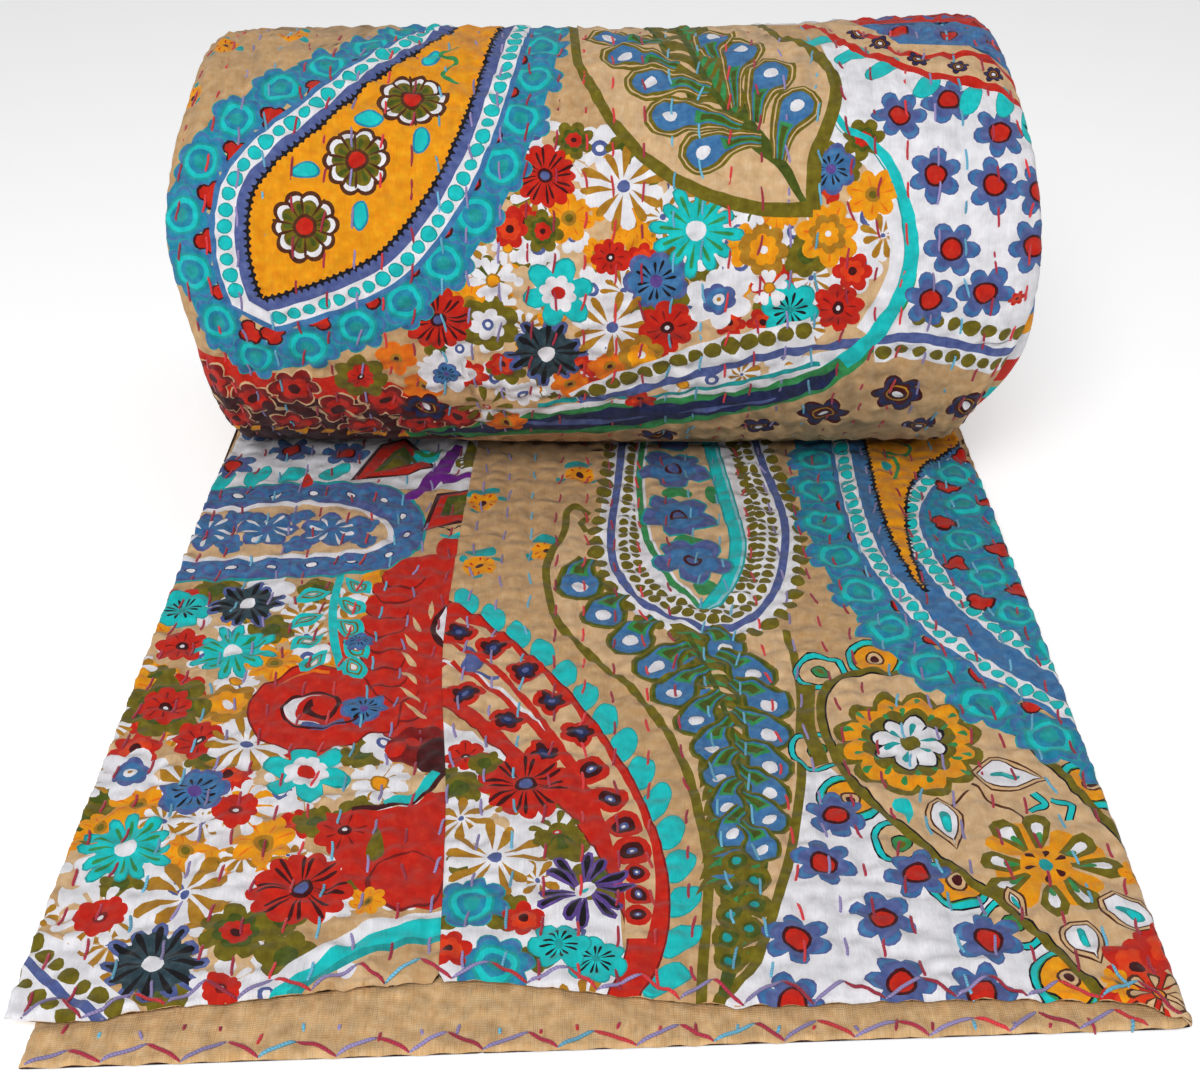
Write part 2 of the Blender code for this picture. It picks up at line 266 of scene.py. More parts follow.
# Flowers, each as rings of parts from the outside in. Sizes are shares of the flower's radius:
# bloom (size, lobes, cut), strokes and between (start, reach, count, half width), dab (size).
FLOWERS = {
    "ringed": (
        ("bloom", "sea", 1.05, 7, 0.24), ("bloom", "blue", 1.0, 7, 0.24), ("bloom", "teal", 0.84, 7, 0.18),
        ("dab", "sea", 0.66), ("dab", "turquoise", 0.58), ("dab", "teal", 0.42), ("dab", "sea", 0.24),
    ),
    "faint": (
        ("bloom", "slate", 1.06, 6, 0.2), ("bloom", "blue", 1.0, 6, 0.2), ("dab", "slate", 0.5),
        ("dab", "blue", 0.3),
    ),
    "blue eye": (
        ("bloom", "slate", 1.06, 6, 0.40), ("bloom", "blue", 0.98, 6, 0.42),
        ("bloom", "slate", 0.8, 6, 0.3), ("dab", "maroon", 0.45), ("dab", "red", 0.35),
    ),
    "red star": (
        ("bloom", "red", 1.0, 13, 0.16), ("strokes", "maroon", 0.2, 0.86, 16, 0.045),
        ("dab", "maroon", 0.24), ("dab", "slate", 0.15),
    ),
    "sea star": (
        ("strokes", "sea", 0.12, 1.1, 12, 0.17), ("strokes", "turquoise", 0.12, 1.05, 12, 0.14),
        ("bloom", "turquoise", 0.76, 12, 0.12), ("strokes", "green", 0.26, 0.86, 12, 0.05),
        ("dab", "white", 0.25),
    ),
    "black star": (
        ("strokes", "slate", 0.15, 1.08, 12, 0.17), ("bloom", "pine", 0.84, 12, 0.12),
        ("strokes", "black", 0.22, 0.98, 12, 0.075), ("dab", "white", 0.23),
    ),
    "slate star": (
        ("bloom", "slate", 1.0, 7, 0.2), ("bloom", "blue", 0.84, 7, 0.16),
        ("strokes", "black", 0.2, 0.64, 12, 0.05), ("dab", "violet", 0.2),
    ),
    "violet star": (
        ("strokes", "violet", 0.1, 1.06, 12, 0.15), ("strokes", "black", 0.28, 0.98, 12, 0.075),
        ("dab", "white", 0.24), ("dab", "turquoise", 0.08),
    ),
    "teal burr": (
        ("bloom", "sea", 1.03, 6, 0.26), ("bloom", "turquoise", 0.97, 6, 0.26),
        ("strokes", "black", 0.12, 0.6, 12, 0.05), ("dab", "sea", 0.14),
    ),
    "red bloom": (
        ("bloom", "red", 1.0, 8, 0.22), ("strokes", "wine", 0.25, 0.7, 8, 0.04), ("dab", "maroon", 0.24),
        ("dab", "white", 0.09),
    ),
    "red daisy": (
        ("strokes", "white", 0.5, 1.7, 12, 0.25), ("bloom", "red", 1.0, 9, 0.12), ("dab", "wine", 0.3),
        ("dab", "white", 0.13),
    ),
    "olive bloom": (
        ("bloom", "olive", 1.0, 7, 0.30), ("bloom", "moss", 0.62, 7, 0.2), ("bloom", "red", 0.42, 8, 0.16),
        ("dab", "maroon", 0.14),
    ),
    "amber bloom": (
        ("bloom", "amber", 1.0, 7, 0.28), ("strokes", "orange", 0.3, 0.8, 7, 0.04), ("dab", "ochre", 0.3),
        ("dab", "olive", 0.16),
    ),
    "ochre bloom": (
        ("bloom", "ochre", 1.0, 7, 0.24), ("bloom", "amber", 0.6, 7, 0.2), ("dab", "white", 0.16),
    ),
    "orange bloom": (("bloom", "orange", 1.0, 6, 0.26), ("dab", "ochre", 0.3), ("dab", "maroon", 0.14)),
    "sea bloom": (
        ("bloom", "sea", 1.03, 6, 0.44), ("bloom", "turquoise", 0.97, 6, 0.44),
        ("bloom", "white", 0.52, 8, 0.2), ("dab", "red", 0.2),
    ),
    "ochre rays": (
        ("between", "white", 0.2, 1.0, 10, 0.2), ("bloom", "white", 0.6, 10, 0.1),
        ("strokes", "ochre", 0.2, 1.06, 10, 0.11), ("dab", "slate", 0.16),
    ),
    "gold rays": (
        ("between", "white", 0.2, 1.1, 8, 0.22), ("strokes", "ochre", 0.12, 1.0, 8, 0.17),
        ("dab", "white", 0.14), ("dab", "slate", 0.1),
    ),
    "white daisy": (
        ("strokes", "white", 0.1, 1.0, 10, 0.2), ("dab", "ochre", 0.32), ("dab", "amber", 0.24),
    ),
    "olive rays": (("strokes", "olive", 0.3, 1.0, 8, 0.15), ("dab", "red", 0.16), ("dab", "white", 0.08)),
    "white bloom": (("bloom", "white", 1.0, 6, 0.3), ("dab", "slate", 0.32), ("dab", "white", 0.15)),
    "sand bloom": (("bloom", "sand", 1.0, 5, 0.3), ("dab", "white", 0.3)),
    "olive patch": (("bloom", "olive", 1.0, 7, 0.2), ("dab", "moss", 0.4)),
    "red patch": (("bloom", "red", 1.0, 6, 0.3), ("bloom", "scarlet", 0.6, 6, 0.2), ("dab", "maroon", 0.22)),
    "ring eye": (
        ("bloom", "white", 1.9, 6, 0.34), ("bloom", "slate", 1.0, 6, 0.16), ("dab", "blue", 0.7),
        ("dab", "white", 0.36), ("dab", "ochre", 0.14),
    ),
    "dark bloom": (
        ("bloom", "maroon", 1.0, 6, 0.3), ("bloom", "navy", 0.86, 6, 0.3), ("bloom", "maroon", 0.6, 6, 0.2),
        ("dab", "ochre", 0.42), ("dab", "maroon", 0.36), ("dab", "white", 0.2),
    ),
    "wheel": (
        ("bloom", "brown", 1.1, 10, 0.14), ("bloom", "white", 0.96, 10, 0.16),
        ("bloom", "olive", 0.80, 10, 0.12), ("strokes", "moss", 0.3, 0.72, 10, 0.08),
        ("between", "brown", 0.25, 0.98, 10, 0.05), ("dab", "brown", 0.38), ("dab", "red", 0.27),
    ),
    "slashed": (
        ("bloom", "slate", 1.04, 6, 0.26), ("bloom", "blue", 0.9, 6, 0.26),
        ("strokes", "white", 0.26, 0.8, 8, 0.075), ("dab", "slate", 0.2),
    ),
    "wine bloom": (
        ("bloom", "sand", 1.0, 6, 0.3), ("bloom", "wine", 0.92, 6, 0.3), ("bloom", "red", 0.62, 6, 0.26),
        ("dab", "maroon", 0.22),
    ),
}
FILLING = (
    "white bloom", "sand bloom", "gold rays", "white daisy", "amber bloom", "olive patch", "ochre rays",
    "white bloom", "red patch",
)


def flower(kind, x, y, r):
    """Draws a flower of the table above, turned by its place so that no two lie alike."""
    marks, turn = [], 0.37 * x + 0.61 * y
    for part, ink, *sizes in FLOWERS[kind]:
        if part == "bloom":
            marks += bloom(ink, x, y, r * sizes[0], sizes[1], sizes[2], turn)
        elif part == "dab":
            marks += dab(ink, x, y, r * sizes[0])
        else:
            lean = turn + (part == "between") * np.pi / sizes[2]
            marks += strokes(ink, x, y, r * sizes[0], r * sizes[1], sizes[2], r * sizes[3], lean)
    return marks


def flowers(kind, places, r):
    """The same flower at several places."""
    return [one for x, y in places for one in flower(kind, x, y, r)]


def field(*rows):
    """Flowers at listed places, one over the last: rows of a kind, its radius and its places."""
    return [one for kind, r, *places in rows for one in flowers(kind, places, r)]


def scattered(kinds, box, gap, size, seed):
    """Small flowers strewn over a box (x from, x to, y from, y to), kept a gap apart."""
    dice = np.random.default_rng(seed)
    spots, marks = [], []
    for _ in range(700):
        x, y = dice.uniform(box[0], box[1]), dice.uniform(box[2], box[3])
        if all((x - a) ** 2 + (y - b) ** 2 > gap**2 for a, b in spots):
            spots.append((x, y))
            marks += flower(kinds[dice.integers(len(kinds))], x, y, size * dice.uniform(0.75, 1.2))
    return marks


def curve(points, steps=8):
    """A smooth path through the points, each stretch a cubic that leans as its neighbours do."""
    p = np.array(points, float)
    p = np.concatenate([[2 * p[0] - p[1]], p, [2 * p[-1] - p[-2]]])
    t = np.linspace(0, 1, steps, endpoint=False)[:, None]
    a, b, c, d = p[:-3, None], p[1:-2, None], p[2:-1, None], p[3:, None]
    body = 2 * b + (c - a) * t + (2 * a - 5 * b + 4 * c - d) * t**2 + (3 * b - a - 3 * c + d) * t**3
    return np.concatenate([body.reshape(-1, 2) / 2, p[-2:-1]])


def sideways(path, closed=False):
    """Unit normals of a path, to the left of its way."""
    way = np.roll(path, -1, 0) - np.roll(path, 1, 0) if closed else np.gradient(path, axis=0)
    way = way / np.maximum(np.linalg.norm(way, axis=1, keepdims=True), 1e-9)
    return np.stack([-way[:, 1], way[:, 0]], -1)


def grown(outline, by):
    """A closed outline moved outwards by a distance."""
    outline = mark("", outline)[0][1]
    return outline - sideways(outline, closed=True) * by


def beside(path, by):
    """A path set off to the left of another."""
    return path + sideways(path) * by


def ribbon(ink, path, width):
    """A band along a path, as wide as given at each point or all along."""
    half = sideways(path) * (np.broadcast_to(width, len(path))[:, None] / 2)
    return mark(ink, np.concatenate([path + half, (path - half)[::-1]]))


def leaf(spine, width, blunt=0.5):
    """The outline of a leaf along a spine: half width times sin of pi t^blunt."""
    t = np.linspace(0, 1, len(spine))
    half = sideways(spine) * (width / 2 * np.sin(np.pi * t**blunt))[:, None]
    return np.concatenate([spine - half, (spine + half)[-2:0:-1]])


def patch(ink, points):
    """A closed mark whose outline runs smoothly through the points."""
    return mark(ink, curve(points))


def line(ink, points, width):
    """A band that runs smoothly through the points."""
    return ribbon(ink, curve(points), width)


def blade(ink, points, width):
    """A leaf whose spine runs smoothly through the points."""
    return mark(ink, leaf(curve(points), width))


def spaced(path, pitch, start=0.5):
    """Points along a path at an even pitch, with their normals."""
    run = np.concatenate([[0], np.cumsum(np.linalg.norm(np.diff(path, axis=0), axis=1))])
    at = np.arange(start * pitch, run[-1], pitch)
    side = sideways(path)
    return [
        tuple(np.interp(at_k, run, column) for column in (*path.T, *side.T)) for at_k in at
    ]


def row_of(ink, path, pitch, r, offset=0.0, flat=1.0):
    """A row of dabs beside a path."""
    marks = []
    for x, y, nx, ny in spaced(path, pitch):
        size = r * (1 + 0.14 * math.sin(x + 2 * y))
        marks += dab(ink, x + nx * offset, y + ny * offset, size, flat, math.atan2(ny, nx))
    return marks


def row_of_leaves(ink, path, pitch, length, width, lean, offset=0.0):
    """A row of leaves along a path, which lean off it by an angle."""
    marks = []
    for x, y, nx, ny in spaced(path, pitch):
        way = math.atan2(ny, nx) + lean
        ends = [(x + nx * offset, y + ny * offset)]
        ends.append((ends[0][0] + length * math.cos(way), ends[0][1] + length * math.sin(way)))
        marks += mark(ink, leaf(curve(ends), width, 0.7))
    return marks


def within(loop, spots, ends=None):
    """Whether each spot lies in a closed loop: edges of the loop that pass on its right count +1
    upwards and -1 downwards, and the sum isn't zero. Unordered edges come as starts and ends."""
    inside = np.zeros(len(spots), bool)
    near = np.flatnonzero(((spots > loop.min(0)) & (spots < loop.max(0))).all(1))
    p, q = loop, np.roll(loop, -1, 0) if ends is None else ends
    for part in np.array_split(near, 1 + len(near) * len(loop) // 2_000_000):
        x, y = spots[part, :1], spots[part, 1:]
        side = (q[:, 0] - p[:, 0]) * (y - p[:, 1]) - (x - p[:, 0]) * (q[:, 1] - p[:, 1])
        up = (p[:, 1] <= y) & (q[:, 1] > y) & (side > 0)
        down = (p[:, 1] > y) & (q[:, 1] <= y) & (side < 0)
        inside[part] = up.sum(1) != down.sum(1)
    return inside


def triangles(points, edges, outline):
    """Triangles over the points that keep every edge and fill the outline: (points, corners)."""
    made = delaunay_2d_cdt([Vector(p) for p in points], edges, [], 0, 1e-5, False)
    flat, corners = np.array([p[:] for p in made[0]]), np.array(made[2])
    return flat, corners[within(outline, flat[corners].mean(1))]


def top_mark(marks, spots):
    """The number of the last mark that lies over each spot, -1 where none does."""
    order = np.argsort(spots[:, 1])
    spots, number = spots[order], np.full(len(spots), -1)
    for k, loop in marks:
        a, b = np.searchsorted(spots[:, 1], [loop[:, 1].min(), loop[:, 1].max()])
        number[a:b][within(loop, spots[a:b])] = k
    return number[np.argsort(order)]


def cut_cloth(outline, marks, spacing):
    """Triangles over the outline whose edges follow every mark where it shows: (points in mm,
    corners, ink number of each triangle, -1 where no mark lies). Grid points between the marks
    and rows along the outline keep the relief and the rounded edges."""
    near, far = outline.min(0), outline.max(0)
    marks = [(k, p) for k, (_, p) in enumerate(marks) if (p.max(0) > near).all() and (p.min(0) < far).all()]
    points, edges = outline.tolist(), [(k, (k + 1) % len(outline)) for k in range(len(outline))]
    if marks:
        starts = np.concatenate([p for _, p in marks])
        ends = np.concatenate([np.roll(p, -1, 0) for _, p in marks])
        owner = np.repeat([k for k, _ in marks], [len(p) for _, p in marks])
        over = np.stack([top_mark(marks, spots) for spots in (starts, (starts + ends) / 2, ends)])
        shown = (over[0] <= owner) | (over != over[0]).any(0)
        kept, chain = np.unique(np.concatenate([starts[shown], ends[shown]]), axis=0, return_inverse=True)
        edges += (len(points) + chain.reshape(2, -1).T).tolist()
        points += kept.tolist()
    columns = np.arange(near[0] + spacing[0] / 2, far[0], spacing[0])
    lines = np.arange(near[1] + spacing[1] / 2, far[1], spacing[1])
    points.extend(np.stack(np.meshgrid(columns, lines), -1).reshape(-1, 2).tolist())
    for inset in (0.15, 0.5, 1.1, 2.0, 3.6):
        points.extend(grown(outline, -inset).tolist())
    flat, corners = triangles(points, edges, outline)
    return flat, corners, top_mark(marks, flat[corners].mean(1))


def normals(face, u, v):
    """Unit normals of a face(u, v), from its slopes over a third of a millimetre."""
    step = 0.0003
    n = np.cross(face(u + step, v) - face(u - step, v), face(u, v + step) - face(u, v - step))
    return n / np.maximum(np.linalg.norm(n, axis=-1, keepdims=True), 1e-12)


def finished(name, places, faces, paint, cloth, smooth, material):
    """A piece of the quilt, with an ink and the cloth's own place at each corner of its faces."""
    mesh = bpy.data.meshes.new(name)
    mesh.from_pydata(places.tolist(), [], faces)
    paint = np.concatenate([paint, np.ones((len(paint), 1))], 1)
    mesh.attributes.new("ink", "FLOAT_COLOR", "CORNER").data.foreach_set("color", paint.ravel())
    mesh.uv_layers.new(name="cloth").data.foreach_set("uv", cloth.ravel())
    mesh.polygons.foreach_set("use_smooth", smooth)
    mesh.materials.append(material)
    piece = bpy.data.objects.new(name, mesh)
    bpy.context.scene.collection.objects.link(piece)
    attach(piece, "root")
    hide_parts("quilt")
    return piece


def sew_sheet(name, outline, marks, ground, face, back, lining, material, spacing, inner=(12.0, 12.0)):
    """Makes a length of quilt as one closed mesh: the printed face(u, v), and a plain back(u, v)
    that shares its rim. Spacing is the grid of the face and inner that of the back, in mm."""
    outline = mark("", outline)[0][1]
    flat, corners, number = cut_cloth(outline, marks, spacing)
    used, corners = np.unique(corners, return_inverse=True)
    flat, corners = flat[used], corners.reshape(-1, 3)
    edges = np.concatenate([corners[:, [0, 1]], corners[:, [1, 2]], corners[:, [2, 0]]])
    _, first, uses = np.unique(np.sort(edges, 1), axis=0, return_index=True, return_counts=True)
    rim = edges[first[uses == 1]]
    rim_points, rim_edges = np.unique(rim, return_inverse=True)
    columns = np.arange(outline[:, 0].min() + 8, outline[:, 0].max() - 5, inner[0])
    lines = np.arange(outline[:, 1].min() + 8, outline[:, 1].max() - 5, inner[1])
    grid = np.stack(np.meshgrid(columns, lines), -1).reshape(-1, 2)
    grid = np.concatenate([grid] + [grown(outline, -inset) for inset in (0.3, 1.0, 2.0)])
    grid = grid[within(outline, grid)]
    joined = np.concatenate([flat[rim_points], grid])
    made = delaunay_2d_cdt([Vector(p) for p in joined], rim_edges.reshape(-1, 2).tolist(), [], 0, 1e-6, True)
    behind = np.array([ids[0] for ids in made[3]])[np.array(made[2])]
    behind = behind[within(flat[rim[:, 0]], joined[behind].mean(1), flat[rim[:, 1]])]
    behind = np.concatenate([rim_points, len(flat) + np.arange(len(grid))])[behind][:, ::-1]
    (u, v), (gu, gv) = flat.T / 1000, grid.T / 1000
    every = np.concatenate([corners, behind])
    paints = np.array([INKS[ink] for ink, _ in marks] + [INKS[ground], INKS[lining]])
    number = np.concatenate([np.where(number < 0, len(marks), number), np.full(len(behind), len(marks) + 1)])
    cloth = np.concatenate([flat, grid])[every.ravel()] / 1000
    places = np.concatenate([face(u, v), back(gu, gv)])
    smooth = np.ones(len(every), bool)
    sheet = finished(name, places, every.tolist(), paints[number].repeat(3, 0), cloth, smooth, material)
    out = np.concatenate([normals(face, u, v), -normals(face, gu, gv)])
    sheet.data.normals_split_custom_set_from_vertices(out.tolist())
    return sheet


def new_group(name, inputs, outputs):
    """A shader node group with float or vector sockets."""
    group = bpy.data.node_groups.new(name, "ShaderNodeTree")
    for label, kind in inputs:
        group.interface.new_socket(label, in_out="INPUT", socket_type=kind)
    for label, kind in outputs:
        group.interface.new_socket(label, in_out="OUTPUT", socket_type=kind)
    return group, group.nodes.new("NodeGroupInput"), group.nodes.new("NodeGroupOutput")


def math_node(tree, operation, a, b):
    """A Math node over two sockets or numbers."""
    node = tree.nodes.new("ShaderNodeMath")
    node.operation = operation
    for socket, value in zip(node.inputs, (a, b)):
        if isinstance(value, (int, float)):
            socket.default_value = value
        else:
            tree.links.new(value, socket)
    return node.outputs[0]


def noise_node(tree, vector, stretch, detail):
    """Noise with so many cells to the metre along each axis."""
    scale = tree.nodes.new("ShaderNodeVectorMath")
    scale.operation = "MULTIPLY"
    scale.inputs[1].default_value = stretch
    tree.links.new(vector, scale.inputs[0])
    node = tree.nodes.new("ShaderNodeTexNoise")
    node.inputs["Scale"].default_value = 1.0
    node.inputs["Detail"].default_value = detail
    tree.links.new(scale.outputs[0], node.inputs["Vector"])
    return node.outputs["Fac"]


def cloth_groups():
    """Two groups over the cloth's own place in metres. The weave is the sum of two sines at the
    thread pitch and of noise drawn out along the threads as slubs. The wash is broad and fine
    noise, as ink that took unevenly."""
    weave, start, end = new_group(
        "plain_weave", (("Cloth", "NodeSocketVector"), ("Pitch", "NodeSocketFloat")),
        (("Height", "NodeSocketFloat"),)
    )
    parts = weave.nodes.new("ShaderNodeSeparateXYZ")
    weave.links.new(start.outputs["Cloth"], parts.inputs[0])
    rate = math_node(weave, "DIVIDE", 2 * math.pi, start.outputs["Pitch"])
    warp = math_node(weave, "SINE", math_node(weave, "MULTIPLY", parts.outputs[0], rate), 0)
    weft = math_node(weave, "SINE", math_node(weave, "MULTIPLY", parts.outputs[1], rate), 0)
    slub = noise_node(weave, start.outputs["Cloth"], (2600, 160, 1), 2.0)
    both = math_node(weave, "MULTIPLY", math_node(weave, "ADD", warp, weft), 0.22)
    weave.links.new(math_node(weave, "ADD", both, math_node(weave, "MULTIPLY", slub, 1.4)), end.inputs[0])
    wash, start, end = new_group(
        "ink_wash", (("Cloth", "NodeSocketVector"), ("Depth", "NodeSocketFloat")),
        (("Shade", "NodeSocketFloat"), ("Depth", "NodeSocketFloat")),
    )
    broad = noise_node(wash, start.outputs["Cloth"], (150, 150, 1), 3.0)
    fine = noise_node(wash, start.outputs["Cloth"], (2300, 120, 1), 3.0)
    both = math_node(wash, "ADD", math_node(wash, "MULTIPLY", broad, 1.3),
        math_node(wash, "MULTIPLY", fine, 0.7))
    depth = math_node(wash, "MULTIPLY", math_node(wash, "SUBTRACT", both, 1.0), start.outputs["Depth"])
    wash.links.new(math_node(wash, "ADD", depth, 1.0), end.inputs[0])
    pools = noise_node(wash, start.outputs["Cloth"], (260, 260, 1), 2.5)
    wash.links.new(math_node(wash, "ADD", math_node(wash, "MULTIPLY", pools, 0.8), 0.74), end.inputs[1])
    return weave, wash


WEAVE, WASH = cloth_groups()


def cotton(name, wash_depth, pitch, relief):
    """Cotton cloth: the ink at each corner times the wash, matt, with a little sheen."""
    material = bpy.data.materials.new(name)
    material.use_nodes = True
    tree = material.node_tree
    shader = tree.nodes["Principled BSDF"]
    shader.inputs["Roughness"].default_value = 0.88
    shader.inputs["Specular IOR Level"].default_value = 0.22
    shader.inputs["Sheen Weight"].default_value = 0.10
    shader.inputs["Sheen Roughness"].default_value = 0.5
    ink, cloth = tree.nodes.new("ShaderNodeVertexColor"), tree.nodes.new("ShaderNodeUVMap")
    ink.layer_name, cloth.uv_map = "ink", "cloth"
    weave, wash = tree.nodes.new("ShaderNodeGroup"), tree.nodes.new("ShaderNodeGroup")
    weave.node_tree, wash.node_tree = WEAVE, WASH
    weave.inputs["Pitch"].default_value, wash.inputs["Depth"].default_value = pitch, wash_depth
    shaded, bump, depth = (tree.nodes.new(f"ShaderNode{kind}") for kind in ("VectorMath", "Bump", "Gamma"))
    shaded.operation = "SCALE"
    bump.inputs["Distance"].default_value = relief
    for source, target in (
        (cloth.outputs[0], weave.inputs["Cloth"]), (cloth.outputs[0], wash.inputs["Cloth"]),
        (ink.outputs["Color"], depth.inputs["Color"]), (wash.outputs["Depth"], depth.inputs["Gamma"]),
        (depth.outputs["Color"], shaded.inputs[0]), (wash.outputs["Shade"], shaded.inputs["Scale"]),
        (shaded.outputs[0], shader.inputs["Base Color"]), (weave.outputs["Height"], bump.inputs["Height"]),
        (bump.outputs["Normal"], shader.inputs["Normal"]),
    ):
        tree.links.new(source, target)
    return material


printed_cotton = cotton("printed_cotton", wash_depth=0.42, pitch=0.00042, relief=0.00012)


def front_line(low, high):
    """The upper layer's front edge between two places across it, in millimetres."""
    u = np.arange(low, high, 2.5)
    return np.stack([u, front_edge(u / 1000) * 1000], -1)


def straight(*corners, pitch=2.5):
    """Points at an even pitch in straight lines from corner to corner, without the last corner."""
    runs = []
    for start, end in zip(np.array(corners[:-1], float), np.array(corners[1:], float)):
        share = np.linspace(0, 1, max(2, int(np.linalg.norm(end - start) / pitch)), endpoint=False)
        runs.append(start + share[:, None] * (end - start))
    return np.concatenate(runs)


SIDE, BACK_END = 200, 415  # the cloth's side edges and its end under the roll, in mm
seam_v = np.arange(19.0, BACK_END, 2.5)
seam_line = np.stack([smooth_table(seam_v / 1000, LENGTH_SEAM) * 1000, seam_v], -1)
left_outline = np.concatenate([
    front_line(-SIDE, seam_line[0, 0] - 1.5), seam_line,
    straight((seam_line[-1, 0], BACK_END), (-SIDE, BACK_END), (-SIDE, 1)),
])

slate_boteh = curve([
    (-215, 338), (-180, 342), (-150, 345), (-115, 344), (-97, 331), (-87, 306), (-90, 282), (-108, 265),
    (-150, 260), (-215, 255),
])
boteh_heart = curve([
    (-215, 317), (-180, 322), (-150, 326), (-122, 321), (-106, 307), (-103, 291), (-118, 281), (-160, 277),
    (-215, 274),
])
boteh_band = curve([
    (-212, 328), (-150, 336), (-114, 333), (-96, 310), (-97, 286), (-112, 273), (-150, 269), (-212, 265),
])
red_side = curve([(-92, 268), (-99, 240), (-99, 215), (-95, 190), (-86, 166), (-80, 146)])
spiral_edge = curve([
    (-84, 152), (-102, 141), (-119, 136), (-138, 143), (-147, 160), (-144, 177), (-133, 189), (-118, 191),
    (-103, 185), (-95, 172), (-84, 166),
])
turned = np.linspace(0.3, 10.2, 90)  # the spiral's radius falls by 1.45 mm with each radian
spiral_line = np.stack([
    -119 + 1.14 * (17 - 1.45 * turned) * np.cos(turned), 164 - (17 - 1.45 * turned) * np.sin(turned),
], -1)
corner_line = curve([(-206, 30), (-198, 22), (-183, 9), (-164, -3)])
sash = curve([(-112, 6), (-94, 23), (-78, 33), (-58, 38), (-44, 40)])


def seeded_leaf(x, y, length, width, turn):
    """A turquoise leaf of the branch: an olive line round a white seed."""
    marks = []
    rings = (("turquoise", 1.0), ("olive", 0.64), ("turquoise", 0.5), ("ochre", 0.34), ("white", 0.24))
    for ink, share in rings:
        reach = 0.5 * length * share
        ends = [(x + side * reach * math.cos(turn), y + side * reach * math.sin(turn)) for side in (-1, 1)]
        marks += mark(ink, leaf(curve(ends), width * share, 0.8))
    return marks


def fingers(ink, places, length, width):
    """Blunt leaves side by side, each given as x, y and its way."""
    return [
        one for x, y, turn in places
        for one in dab("sea", x, y, length / 2 + 0.7, width / length, turn)
        + dab(ink, x, y, length / 2, width / length, turn)
    ]


